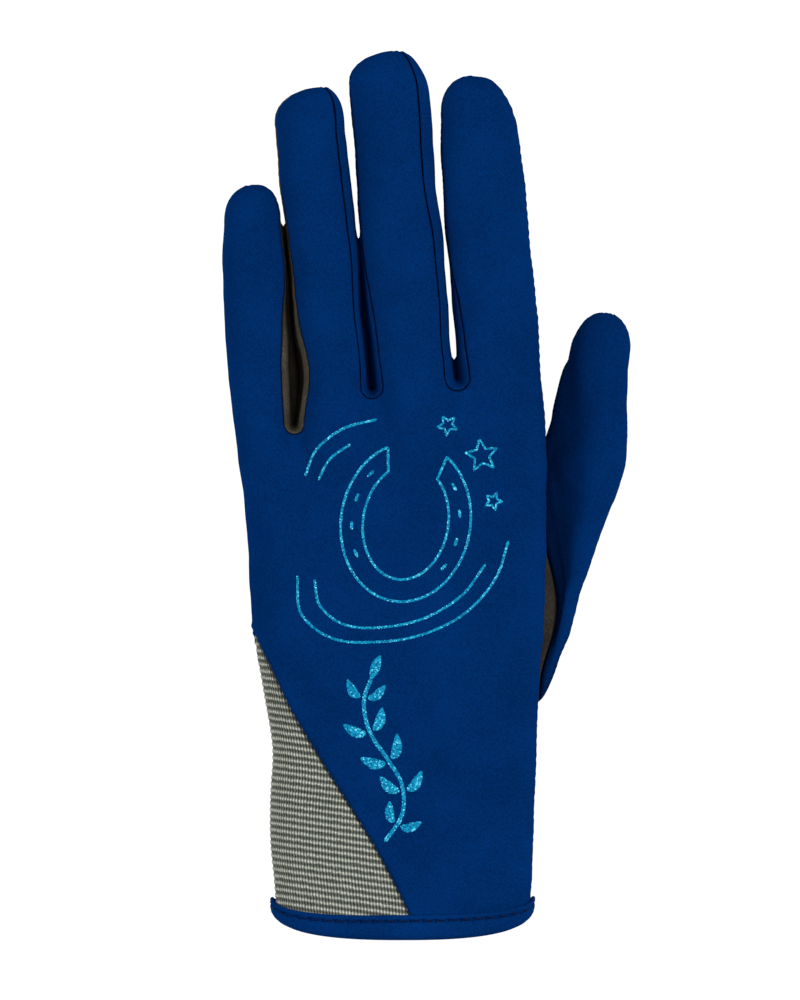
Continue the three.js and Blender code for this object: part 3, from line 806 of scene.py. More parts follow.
class Panels:
    """A skin's faces after its cuts, with each point's normal, how far it is shifted, and its marks
    for the looks: how far it lies from a seam, how far along it, and how much painted shade it gets in a
    fold."""

    def __init__(self, points, faces, tags, names):
        self.points = points
        self.faces = faces
        self.tags = tags
        self.names = names
        self.normals = point_normals(points, faces)
        self.owners = edge_owners(faces, tags)
        self.shift = np.zeros_like(points)
        self.marks = np.zeros_like(points)

    def displace(self, lift, groove_lift, away):
        """Moves the outer surface by a lift along the normals. A groove goes straight down where the
        surface faces up, so that it stays in its place seen from above."""
        upright = smooth(0, 0.35, self.normals[:, Z])[:, None]
        way = mix(self.normals, np.array([0.0, 0.0, 1.0]), upright)
        way /= np.maximum(np.linalg.norm(way, axis=1), 1e-9)[:, None]
        low = self.points[:, Z] < RESTING_BELOW
        lift, groove_lift = (np.where(low, np.minimum(part, 0.0), part) for part in (lift, groove_lift))
        self.shift = self.normals * lift[:, None] + way * groove_lift[:, None]
        self.marks[:, 0] = away
        self.marks[:, 1] = self.points[:, Y] + 0.9 * self.points[:, X]

    def seams(self, wanted):
        """Samples along the edges whose owners and middle point the test accepts."""
        edges = []
        for (n, m), tags in self.owners.items():
            names = sorted(self.names[t] for t in tags)
            if wanted(names, (self.points[n] + self.points[m]) / 2):
                edges.append((n, m))
        return along_edges(self.points, edges)

    def tree(self, displaced=False):
        points = self.points + self.shift if displaced else self.points
        return BVHTree.FromPolygons([Vector(p) for p in points], self.faces)

    def centres(self):
        return [Vector(self.points[face].mean(axis=0)) for face in self.faces]

    def drop(self, unwanted):
        kept = [i for i, gone in enumerate(unwanted) if not gone]
        self.faces = [self.faces[i] for i in kept]
        self.tags = [self.tags[i] for i in kept]

    def shell(self, name):
        """A panel's outer points, its faces, and its inner points, a wall's thickness in."""
        tag = self.names.index(name)
        faces = [face for face, t in zip(self.faces, self.tags) if t == tag]
        used = np.unique(np.concatenate([np.array(f) for f in faces]))
        number = {int(n): i for i, n in enumerate(used)}
        faces = [[number[n] for n in face] for face in faces]
        outer = self.points[used] + self.shift[used]
        inner = self.points[used] - self.normals[used] * WALL
        return outer, inner, faces, self.marks[used]


def walled(outer, inner, faces):
    """The points and faces of a closed shell."""
    count = len(outer)
    owners = edge_owners(faces, [0] * len(faces))
    rims = []
    for face in faces:
        for k, n in enumerate(face):
            m = face[(k + 1) % len(face)]
            if len(owners[(min(n, m), max(n, m))]) == 1:
                rims.append([m, n, n + count, m + count])
    lining = [[n + count for n in reversed(face)] for face in faces]
    return np.vstack([outer, inner]), [*faces, *lining, *rims]


# Seams: how deep the groove is, how wide, and the swell of the cloth beside it
GROOVE_DEPTH = 0.6
GROOVE_WIDTH = 0.2
SEAM_SWELL = 0.14
SEAM_SWELL_AT = 0.85
SEAM_SWELL_WIDTH = 0.5
PUCKER = 0.06
PUCKER_PITCH = 1.6
SEAM_REACH = 6.0

# The side seam of the thumb's side, whose stitches pull the edge into scallops
SIDE_SEAM_RIGHT_OF = 15.0
SCALLOP_PITCH = 2.5
SCALLOP_DEPTH = 0.34
SCALLOP_WIDTH = 1.0
SCALLOP_SHARPNESS = 0.6
SCALLOP_LEVEL = 0.75

# How the thumb's back tucks in beside the suede of its root, with painted shade in the tuck
TUCK_WIDTH = 1.5
TUCK_DEPTH = 0.2
TUCK_REACH = 7.0

# The back's folded edge over the elastic
FOLD_HEIGHT = 0.42
FOLD_AT = 0.75
FOLD_WIDTH = 0.75
FOLD_EDGE = 0.35
FOLD_PITCH = 2.3

# How dark the painted shade in the gaps between the fingers is: over these heights, and up to these places
# on the hand
PAINTED_SHADE_BELOW = (2.5, 7.5)
PAINTED_SHADE_SHARPNESS = 3
PAINTED_SHADE_UP_TO = (182.0, 192.0)

# Soft unevenness of the cloth: the heights over which it sets in, and its wavelengths and heights
UNEVEN_FROM = (2.5, 7.0)
WAVES = [(31.0, 0.22), (17.0, 0.12), (9.0, 0.05)]

# Creases: one end, the other end, width and depth
CREASES = [
    ((-3.5, 178.5), (3.0, 175.5), 1.5, 0.20),
    ((2.0, 176.5), (8.0, 169.0), 1.7, 0.24),
    ((-5.0, 172.5), (-1.0, 170.0), 1.5, 0.14),
    ((-31.5, 169.0), (-26.0, 166.0), 1.8, 0.16),
    ((-24.0, 181.0), (-16.0, 178.5), 2.2, 0.14),
    ((17.0, 186.0), (27.0, 183.5), 2.6, 0.16),
    ((16.0, 206.0), (24.0, 203.0), 2.4, 0.16),
    ((-44.0, 158.0), (-36.0, 160.5), 2.2, 0.16),
    ((-2.0, 133.0), (5.0, 127.5), 3.0, 0.20),
    ((-29.0, 124.0), (-18.0, 121.0), 3.0, 0.18),
    ((13.0, 136.0), (22.0, 131.0), 3.2, 0.18),
    ((49.0, 127.0), (58.0, 131.0), 2.4, 0.22),
    ((45.0, 112.0), (54.0, 114.0), 2.8, 0.22),
]


def unevenness(points):
    """Long soft waves and a few creases, as a lift of the surface."""
    x, y, z = points[:, X], points[:, Y], points[:, Z]
    lift = np.zeros(len(points))
    for i, (length, height) in enumerate(WAVES):
        k = 2 * math.pi / length
        ridges = np.sin(k * (x + 0.6 * z) + 1.7 * i + np.sin(0.7 * k * y + i))
        lift += height * ridges * np.sin(0.8 * k * y + 2.3 * i)
    for one, other, width, depth in CREASES:
        start, way = np.array(one), np.array(other) - np.array(one)
        along = np.clip(((points[:, :2] - start) @ way) / (way @ way), 0, 1)
        away = np.linalg.norm(points[:, :2] - start - along[:, None] * way, axis=1)
        fade = np.sin(np.pi * np.clip(0.1 + 0.8 * along, 0, 1)) * (z > 5)
        lift += depth * fade * (0.5 * hump(away - width, width) - hump(away, width))
    return lift


def groove(away, phase):
    """The lift beside a seam: a narrow groove, then a low swell puckered by the stitches."""
    swell = SEAM_SWELL * hump(away - SEAM_SWELL_AT, SEAM_SWELL_WIDTH)
    pucker = PUCKER * np.cos(2 * math.pi * phase / PUCKER_PITCH) * hump(away - 0.6, 0.5)
    return swell + pucker - GROOVE_DEPTH * hump(away, GROOVE_WIDTH)


def tagged_faces(skin):
    """A skin's faces, the number of the panel that each belongs to, and the panels' names."""
    names = sorted(skin.faces)
    faces, tags = [], []
    for tag, name in enumerate(names):
        own = face_lists(skin.faces[name])
        faces += own
        tags += [tag] * len(own)
    return faces, tags, names


def build_hand():
    skin, knuckles = hand_skin()
    faces, tags, names = tagged_faces(skin)
    hand = Panels(*cut_gusset(skin.points(), faces, tags), names)

    def is_side(panels, middle):
        return panels == ["back_panel", "palm_panel"] and middle[X] > SIDE_SEAM_RIGHT_OF

    def is_groove(panels, middle):
        return len(set(panels)) > 1 and not is_side(panels, middle)

    def is_fold(panels, middle):
        return len(panels) == 1 and abs(middle[X] - gusset_edge(middle[Y], gusset_over(middle[Z]))) < 0.05

    y, z = hand.points[:, Y], hand.points[:, Z]
    lift = unevenness(hand.points) * smooth(*UNEVEN_FROM, z)
    away = distances(hand.points, hand.seams(is_groove), SEAM_REACH)
    side = distances(hand.points, hand.seams(is_side), SEAM_REACH)
    scallop = np.abs(np.sin(np.pi * y / SCALLOP_PITCH)) ** SCALLOP_SHARPNESS - SCALLOP_LEVEL
    lift += SCALLOP_DEPTH * scallop * hump(side, SCALLOP_WIDTH)
    fold = distances(hand.points, hand.seams(is_fold), SEAM_REACH)
    ripple = 1 + 0.25 * np.cos(2 * math.pi * y / FOLD_PITCH)
    lift += FOLD_HEIGHT * ripple * hump(np.maximum(0, fold - FOLD_AT), 2 * FOLD_WIDTH)
    lift -= (FOLD_HEIGHT + FOLD_EDGE) * hump(fold, FOLD_EDGE)
    hand.displace(lift, groove(away, y), away)
    # Painted shade: the third mark darkens the colour low down in the gaps between the fingers, and fades
    # out further up the hand
    hand.marks[:, 2] = (1 - smooth(*PAINTED_SHADE_BELOW, z)) ** PAINTED_SHADE_SHARPNESS * (1 - smooth(*PAINTED_SHADE_UP_TO, y))
    return hand, knuckles


def build_thumb():
    skin = thumb_skin()
    thumb = Panels(skin.points()[:, :3], *tagged_faces(skin))
    away = distances(thumb.points, thumb.seams(lambda panels, _: len(set(panels)) > 1), SEAM_REACH)
    y = thumb.points[:, Y]
    tuck_and_painted_shade = hump(away, TUCK_WIDTH) * (thumb.points[:, X] < KNUCKLES["right"] + TUCK_REACH)
    thumb.displace(unevenness(thumb.points), groove(away, y) - TUCK_DEPTH * tuck_and_painted_shade, away)
    # Painted shade: the third mark darkens the cloth beside the suede at the thumb's root
    thumb.marks[:, 2] = tuck_and_painted_shade
    return thumb


# The way through between the palm and the thumb: how deep inside the other one a panel is taken
# out, and where on the palm that can be
ROOT_CUT_DEPTH = 1.0
PALM_CUT_DEPTH = 1.6
PALM_CUT_RIGHT_OF = 0.7 * KNUCKLES["right"]
PALM_CUT_BELOW = THUMB_ROOT + 0.66 * THUMB_LENGTH


def open_thumb(hand, thumb):
    """Takes out the thumb's root inside the palm, and the palm's suede inside the thumb."""
    hand_tree, thumb_tree = hand.tree(), thumb.tree()
    near = hand.points[:, X] > PALM_CUT_RIGHT_OF
    palm_tag = hand.names.index("palm_panel")
    in_thumb = []
    for face, tag, centre in zip(hand.faces, hand.tags, hand.centres()):
        can_be = tag == palm_tag and near[face].all() and centre.y < PALM_CUT_BELOW
        in_thumb.append(can_be and depth_in(thumb_tree, centre) > PALM_CUT_DEPTH)
    thumb.drop([depth_in(hand_tree, centre) > ROOT_CUT_DEPTH for centre in thumb.centres()])
    hand.drop(in_thumb)


# The elastic: the pitch of its ribs along the hand, how high they stand, and how finely it is made
RIB_PITCH = 1.72
RIB_TILT = 0.15
RIB_HEIGHT = 0.13
KNOT_PITCH = 0.84
KNOT_HEIGHT = 0.15
ELASTIC_ROWS = 270
ELASTIC_COLUMNS = 170
ELASTIC_SUNK = 0.3


def elastic_sheet(knuckles):
    """The elastic's points, with how far each lies along its row and up the hand, and its faces."""
    ring = np.vstack([knuckles["top"][::-1], knuckles["left"][1:], knuckles["bottom"][1:]])
    highest = (GUSSET_TOP - HEM_END) / (FORK_LITTLE_RING - HEM_END)
    rows, marks = [], []
    for share in highest * steps(ELASTIC_ROWS):
        line = ring_points(ring, share)
        away = line[:, X] - gusset_edge(line[:, Y], gusset_over(line[:, Z]))
        inside = np.flatnonzero(away < 0)
        if len(inside) < 2:
            break
        ends = []
        for n, m in ((inside[0], inside[0] - 1), (inside[-1], inside[-1] + 1)):
            ends.append(mix(line[n], line[m], away[n] / (away[n] - away[m])))
        line = np.vstack([ends[0], line[inside], ends[1]])
        lengths = lengths_along(line)
        widest = lengths[1 + np.argmin(line[1:-1, X])]
        at = steps(ELASTIC_COLUMNS) * lengths[-1]
        rows.append(resampled(line, lengths, at))
        marks.append(np.column_stack([at - widest, rows[-1][:, Y] + RIB_TILT * rows[-1][:, X]]))
    width = ELASTIC_COLUMNS + 1
    faces = []
    for r in range(len(rows) - 1):
        for c in range(ELASTIC_COLUMNS):
            n = r * width + c
            faces.append([n, n + width, n + width + 1, n + 1])
    return np.vstack(rows), np.vstack(marks), faces


def build_elastic(knuckles):
    points, marks, faces = elastic_sheet(knuckles)
    normals = point_normals(points, faces)
    across, up = marks.T
    rib = 0.5 + 0.5 * np.cos(2 * math.pi * up / RIB_PITCH)
    knot = 0.5 + 0.5 * np.cos(2 * math.pi * across / KNOT_PITCH)
    wander = 0.12 * np.sin(up / 9.0 + 1.0) * np.sin(across / 7.0)
    edge = gusset_edge(points[:, Y], gusset_over(points[:, Z])) - points[:, X]
    lift = RIB_HEIGHT * rib + KNOT_HEIGHT * (rib * knot - (1 - rib) * (1 - knot)) + wander - ELASTIC_SUNK
    lift -= 0.35 * hump(edge, 0.8)
    lift = np.where(points[:, Z] < RESTING_BELOW, np.minimum(lift, 0.0), lift)
    outer = points + normals * lift[:, None]
    inner = points - normals * WALL
    shell, faces = walled(outer, inner, faces)
    shell[:, Z] = np.maximum(shell[:, Z], 0)
    # The third mark, the distance in from the gusset's edge, sets the painted shade under the cloth's fold
    marks = np.column_stack([marks, edge])
    return shell, faces, np.vstack([marks, marks])


# The binding: how finely it is made, and its stitches' distance below its edge, pitch and size
BINDING_STEP = 0.3
STITCH_DROP = 1.55
STITCH_PITCH = 3.3
STITCH_LENGTH = 2.0
STITCH_RADIUS = 0.36
STITCH_SUNK = 0.05
SLOT = WALL + SEAM_GAP / 2


def binding_ring(knuckles):
    """Evenly spaced points round the cuff: the hem, the binding's edge, and the way out."""
    ring = np.vstack([
        knuckles["top"], knuckles["right"][1:], knuckles["bottom"][::-1][1:], knuckles["left"][::-1][1:-1],
    ])
    share = BINDING_HEIGHT / (FORK_RING_MIDDLE - HEM_END + HEM_DIP)
    hem = ring_points(ring, 0.0)
    edge = ring_points(ring, share, share * BINDING_NARROWING)
    hem, edge = (np.vstack([p, p[:1]]) for p in (hem, edge))
    lengths = lengths_along(edge[:, [X, Z]])
    count = round(lengths[-1] / BINDING_STEP)
    at = np.arange(count) / count * lengths[-1]
    hem, edge = (resampled(p, lengths, at) for p in (hem, edge))
    tangent = np.roll(edge, -1, axis=0) - np.roll(edge, 1, axis=0)
    out = np.column_stack([-tangent[:, Z], np.zeros(count), tangent[:, X]])
    out /= np.linalg.norm(out, axis=1)[:, None]
    for _ in range(3):
        out = (np.roll(out, 1, axis=0) + out + np.roll(out, -1, axis=0)) / 3
    out /= np.linalg.norm(out, axis=1)[:, None]
    return hem, edge, out, at


def build_binding(knuckles):
    hem, edge, out, at = binding_ring(knuckles)
    down = hem - edge
    height = np.linalg.norm(down, axis=1)
    down /= height[:, None]
    thick = SEAM_GAP / 2 + BINDING_WALL
    pull = hump((at / STITCH_PITCH + 0.5) % 1 - 0.5, 0.2)
    tuck = np.minimum(STITCH_DROP, 0.36 * height)
    full = np.full(len(at), 1.0)
    profile = [
        (0.05 * full, 0.12 * full),
        (-0.12 * full, 0.5 * full),
        (0.08 * full, 0.92 * full),
        (0.45 * full, 1.12 * full),
        (tuck - 0.5, 1.1 - 0.15 * pull),
        (tuck - 0.25, 0.95 - 0.9 * pull),
        (tuck + 0.25, 0.95 - 0.9 * pull),
        (tuck + 0.55, 1.1 - 0.15 * pull),
        (tuck + 1.0, 1.2 * full),
        (0.72 * height, 1.3 * full),
        (0.95 * height, 1.28 * full),
        (height + 0.45, 1.0 * full),
        (height + 0.9, 0.45 * full),
        (height + 1.1, -0.35 * full),
        (height + 0.95, -1.15 * full),
        (height + 0.5, -1.8 * full),
        (height - 0.2, -SLOT - thick),
        (0.5 * height, -SLOT - thick),
        (0.25 * full, -SLOT - thick + 0.1),
        (-0.05 * full, -SLOT - 0.5),
        (0.05 * full, -SLOT - 0.02),
        (height - 0.2, -SLOT - 0.02),
        (height - 0.2, 0.12 * full),
    ]
    ripple = 0.04 * np.cos(2 * math.pi * at / (STITCH_PITCH / 2))
    loops = []
    for k, (drop, reach) in enumerate(profile):
        reach = reach * full + (ripple if 3 <= k <= 10 else 0)
        loops.append(edge + down * np.asarray(drop)[:, None] + out * reach[:, None])
    count, around = len(at), len(profile)
    points = np.stack(loops, axis=1).reshape(-1, 3)
    points[:, Z] = np.maximum(points[:, Z], 0.0)
    faces = []
    for i in range(count):
        j = (i + 1) % count
        for k in range(around):
            q = (k + 1) % around
            faces.append([i * around + k, j * around + k, j * around + q, i * around + q])
    seats = edge + down * tuck[:, None] + out * 0.6
    return points, faces, (seats, out, at)


def bar_faces(first, rings, around):
    """The faces of a closed bar, whose rings of points follow each other from its first point."""
    faces = []
    last = first + (rings - 1) * around
    for n in range(first, last, around):
        for k in range(around):
            q = (k + 1) % around
            faces.append([n + k, n + q, n + around + q, n + around + k])
    return [*faces, [*range(first, first + around)][::-1], [*range(last, last + around)]]


def thread_bits(seats, ways, outs):
    """Small rounded stitches: one for each seat, along a way, bowed up out of the cloth."""
    points, faces = [], []
    rings, sides = 7, 8
    bow = 0.35 * STITCH_LENGTH / 2
    for seat, way, out in zip(seats, ways, outs):
        way = way / np.linalg.norm(way)
        side = np.cross(way, out)
        side /= np.linalg.norm(side)
        up = np.cross(side, way)
        faces += bar_faces(len(points), rings, sides)
        for t in np.linspace(-1, 1, rings):
            swell = STITCH_RADIUS * max(0.12, (1 - t**4)) ** 0.5
            centre = seat + way * (t * STITCH_LENGTH / 2) + up * (bow * (1 - t * t) - STITCH_SUNK)
            for k in range(sides):
                angle = 2 * math.pi * k / sides
                points.append(centre + swell * (math.cos(angle) * side + math.sin(angle) * up))
    return np.array(points), faces


def hem_stitches(seats, out, at):
    """The line of stitches that holds the binding, with a gap at each needle hole."""
    total = at[-1] + BINDING_STEP
    count = round(total / STITCH_PITCH)
    places = (np.arange(count) + 0.5) * STITCH_PITCH
    holes, ways_out = (resampled(values, at, places) for values in (seats, out))
    ahead = resampled(seats, at, places + 0.5)
    return thread_bits(holes, ahead - holes, ways_out)


# The print, in lines of glitter: how wide, how high, how far apart its points are, and how ragged
LINE = 0.72
PRINT_HEIGHT = 0.14
PRINT_STEP = 0.35
RAGGED = 0.09

HORSESHOE_CENTRE = (1.5, 110.0)
HORSESHOE_OUTER = (17.0, 21.0)
HORSESHOE_INNER = (11.2, 15.2)
HORSESHOE_GAP = 27
HORSESHOE_TURN = -9
NAIL_BEARINGS = (142, 166, 190, 214, 326, 350, 374, 398)
NAIL_LENGTH = 2.3

SWEEPS = [
    [(-27, 96), (-26, 86), (-18, 79.5), (-6, 78.5), (6, 80.5), (17, 86), (25, 95), (28.5, 105)],
    [(-22.5, 95), (-21, 88), (-14.5, 83), (-4, 82.4), (7, 85), (16.5, 91), (22.5, 99)],
    [(-25, 122), (-22, 129), (-15, 134.5), (-6, 137)],
    [(-21.5, 121), (-18.5, 126.5), (-13, 130.5)],
]

# Stars: centre, radius and turn
STARS = [((21.5, 127.5), 4.4, 8), ((12.5, 135.5), 2.7, 30), ((24.5, 115.5), 2.4, 50)]

STEM = [(-7.5, 69), (-9.5, 63), (-8.0, 55), (-3.5, 48), (0.5, 41), (0.5, 33), (-4.0, 26)]
STEM_WIDTH = 1.1
LEAF_PAIRS = 5
LEAF_LENGTH = 7.6
LEAF_WIDTH = 2.6


def curve(corners):
    """Evenly spaced points along a smooth line through some corners."""
    corners = np.array(corners, float)
    at = lengths_along(corners)
    sheet = {"share": at, "x": corners[:, 0], "y": corners[:, 1]}
    places = np.linspace(0, at[-1] * (1 - 1e-9), max(3, math.ceil(at[-1] / PRINT_STEP)))
    return np.column_stack([read(sheet, places, name) for name in ("x", "y")])


def straight(corners):
    """Evenly spaced points along straight lines between some corners."""
    parts = []
    for one, other in zip(corners, corners[1:]):
        one, other = np.array(one, float), np.array(other, float)
        count = max(1, math.ceil(np.linalg.norm(other - one) / PRINT_STEP))
        parts.append(mix(one, other, (np.arange(count) / count)[:, None]))
    return np.vstack([*parts, corners[-1]])


def turned(points, degrees, centre):
    angle = math.radians(degrees)
    turn = np.array([[math.cos(angle), math.sin(angle)], [-math.sin(angle), math.cos(angle)]])
    return np.asarray(points) @ turn + centre


def arc(radii, start, end):
    angles = np.radians(np.arange(start, end, math.copysign(1.2, end - start)))
    return np.column_stack([radii[0] * np.cos(angles), radii[1] * np.sin(angles)])


def round_ends(line, width):
    """A line's widths, rounded off at both ends."""
    at = lengths_along(line)
    inset = np.minimum(at, at[-1] - at) / (width / 2)
    return width * np.sqrt(np.clip(1 - (1 - np.minimum(inset, 1)) ** 2, 0.04, 1))


def print_lines():
    """Every line of the print, with its widths: a horseshoe, sweeping lines, stars and a sprig."""
    shoe = np.vstack([
        arc(HORSESHOE_OUTER, 90 + HORSESHOE_GAP, 450 - HORSESHOE_GAP),
        arc(HORSESHOE_INNER, 450 - HORSESHOE_GAP - 8, 90 + HORSESHOE_GAP + 8),
    ])
    shoe = turned(np.vstack([shoe, shoe[:1]]), HORSESHOE_TURN, HORSESHOE_CENTRE)
    lines = [(straight(shoe), LINE)]
    for bearing in NAIL_BEARINGS:
        angle = math.radians(bearing)
        radii = np.add(HORSESHOE_OUTER, HORSESHOE_INNER) / 2
        middle = np.array([math.cos(angle), math.sin(angle)]) * radii
        way = np.array([-math.sin(angle), math.cos(angle)]) * NAIL_LENGTH / 2
        nail = turned([middle - way, middle + way], HORSESHOE_TURN, HORSESHOE_CENTRE)
        lines.append((straight(nail), 1.1 * LINE))
    lines += [(curve(sweep), LINE) for sweep in SWEEPS]
    for centre, radius, turn in STARS:
        tips = [(radius * (1 if k % 2 == 0 else 0.45), math.radians(90 + 36 * k)) for k in range(11)]
        star = turned([(r * math.cos(a), r * math.sin(a)) for r, a in tips], turn, centre)
        lines.append((straight(star), 0.85 * LINE))
    sized = [(line, round_ends(line, width)) for line, width in lines]
    return sized + sprig_lines()


def sprig_lines():
    """A leafy stem: pairs of leaves along it and one at its tip."""
    stem = curve(STEM)
    lines = [(stem, round_ends(stem, STEM_WIDTH))]
    for k in range(LEAF_PAIRS):
        n = round(len(stem) * (0.12 + 0.76 * k / (LEAF_PAIRS - 1)))
        way = stem[n - 2] - stem[n + 2]
        bearing = math.degrees(math.atan2(way[1], way[0]))
        size = mix(0.72, 1.0, math.sin(math.pi * (k + 1) / (LEAF_PAIRS + 1)))
        for side in (1, -1):
            length = LEAF_LENGTH * size
            leaf = curve([(0.9, side * 0.5), (0.45 * length, side * 1.2), (length, side * 0.2)])
            leaf = turned(leaf, bearing + side * 48, stem[n])
            t = np.linspace(0, 1, len(leaf))
            lines.append((leaf, 0.3 + LEAF_WIDTH * size * np.sin(np.pi * t**0.8) ** 0.8))
    tip = stem[0] - stem[3]
    tip = curve([stem[1], stem[0] + tip * 2.5, stem[0] + tip * 6])
    t = np.linspace(0, 1, len(tip))
    lines.append((tip, 0.3 + 0.9 * LEAF_WIDTH * np.sin(np.pi * t) ** 0.8))
    return lines


# The print's section: across as shares of half its width, and up as shares of its height
PRINT_SECTION = [
    (-1, -0.6), (-0.92, 0.55), (-0.5, 0.95), (0, 1), (0.5, 0.95), (0.92, 0.55), (1, -0.6), (0, -0.9),
]


def build_print(tree):
    """The print as low closed ribbons that lie on the cloth."""
    rng = random.Random(11)
    points, faces = [], []
    for line, widths in print_lines():
        way = np.gradient(line, axis=0)
        way /= np.maximum(np.linalg.norm(way, axis=1), 1e-9)[:, None]
        side = np.column_stack([-way[:, 1], way[:, 0]])
        faces += bar_faces(len(points), len(line), len(PRINT_SECTION))
        for place, out, width in zip(line, side, widths):
            sides = [1 + rng.uniform(-RAGGED, RAGGED) for _ in range(2)]
            for across, up in PRINT_SECTION:
                x, y = place + out * across * width / 2 * sides[across > 0]
                hit = tree.ray_cast(Vector((x, y, 2 * PALM_HEIGHT)), Vector((0, 0, -1)))[0]
                points.append((x, y, hit.z + up * PRINT_HEIGHT))
    return np.array(points), [face[::-1] for face in faces]


# Where the frame holds the glove: the offset from the pattern's frame to the frame's, in millimetres
OFFSET = np.zeros(3)


def frame_place(points):
    return (np.asarray(points)[:, :3] + OFFSET) * MM


SHARP_FROM = math.radians(50)


def make(name, points, faces, look, slot, nodes=(), marks=None):
    """An object of the glove from points in the pattern's frame. marks is the name of an attribute
    for its look, and its values at the points."""
    mesh = bpy.data.meshes.new(name)
    mesh.from_pydata(frame_place(points).tolist(), [], faces)
    if marks:
        attribute = mesh.attributes.new(marks[0], "FLOAT_VECTOR", "POINT")
        attribute.data.foreach_set("vector", np.asarray(marks[1], float).ravel())
    mesh.validate()
    mesh.polygons.foreach_set("use_smooth", [True] * len(mesh.polygons))
    mesh.set_sharp_from_angle(angle=SHARP_FROM)
    mesh.materials.append(look)
    piece = bpy.data.objects.new(name, mesh)
    bpy.context.scene.collection.objects.link(piece)
    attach(piece, "root")
    if nodes:
        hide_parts(*nodes)


class Look:
    """A material and short ways to add its nodes."""

    def __init__(self, name, **sockets):
        self.material = bpy.data.materials.new(name)
        self.material.use_nodes = True
        self.nodes = self.material.node_tree.nodes
        self.links = self.material.node_tree.links
        self.shader = self.nodes["Principled BSDF"]
        for socket, value in sockets.items():
            self.shader.inputs[socket.replace("_", " ")].default_value = value
        self.place = self.node("ShaderNodeTexCoord").outputs["Object"]

    def node(self, kind, inputs=None, **settings):
        node = self.nodes.new(kind)
        for name, value in settings.items():
            setattr(node, name, value)
        for name, value in (inputs or {}).items():
            socket = node.inputs[name] if isinstance(name, int) else self.socket(node.inputs, name)
            if isinstance(value, bpy.types.NodeSocket):
                self.links.new(value, socket)
            else:
                socket.default_value = value
        return node

    @staticmethod
    def socket(sockets, name):
        """The enabled socket of this name, as a mix node has one for each kind of value."""
        return next(socket for socket in sockets if socket.name == name and socket.enabled)

    def noise(self, size, detail=2.0, roughness=0.5, place=None):
        """Noise whose features are about this many millimetres across."""
        node = self.node("ShaderNodeTexNoise", {
            "Vector": place or self.place, "Scale": 1 / (size * MM),
            "Detail": detail, "Roughness": roughness,
        })
        return node.outputs["Fac"]

    def cells(self, size):
        return self.node("ShaderNodeTexVoronoi", {"Vector": self.place, "Scale": 1 / (size * MM)})

    def stretched(self, x, y, z):
        node = self.node("ShaderNodeMapping", {"Vector": self.place, "Scale": (x, y, z)})
        return node.outputs["Vector"]

    def math(self, operation, a, b=0.0, c=0.0):
        return self.node("ShaderNodeMath", {0: a, 1: b, 2: c}, operation=operation).outputs[0]

    def ramp(self, value, *stops):
        node = self.node("ShaderNodeValToRGB", {"Fac": value})
        elements = node.color_ramp.elements
        while len(elements) < len(stops):
            elements.new(0.5)
        for element, (position, colour) in zip(elements, stops):
            element.position = position
            element.color = (*colour, 1)
        return node.outputs["Color"]

    def colour(self, socket):
        self.links.new(socket, self.shader.inputs["Base Color"])

    def relief(self, height, distance, strength):
        bump = self.node("ShaderNodeBump", {
            "Height": height, "Distance": distance * MM, "Strength": strength,
        })
        self.links.new(bump.outputs["Normal"], self.shader.inputs["Normal"])


# The looks: the seams' stitch pitch, the suede's dark, middle and light tints, how much lighter the
# strip's suede is painted, as painted light for its steep walls that catch less light, and the blues of
# the cloth and the binding
SEAM_STITCH = 0.9
SUEDE_TINTS = ((0.009, 0.0085, 0.0065), (0.018, 0.0155, 0.012), (0.036, 0.030, 0.023))
SUEDE_SHADE = 1.08
STRIP_PAINTED_LIGHT = 2.0
CLOTH_BLUE = (0.0003, 0.0146, 0.0745)
BINDING_BLUE = (0.0005, 0.0160, 0.081)


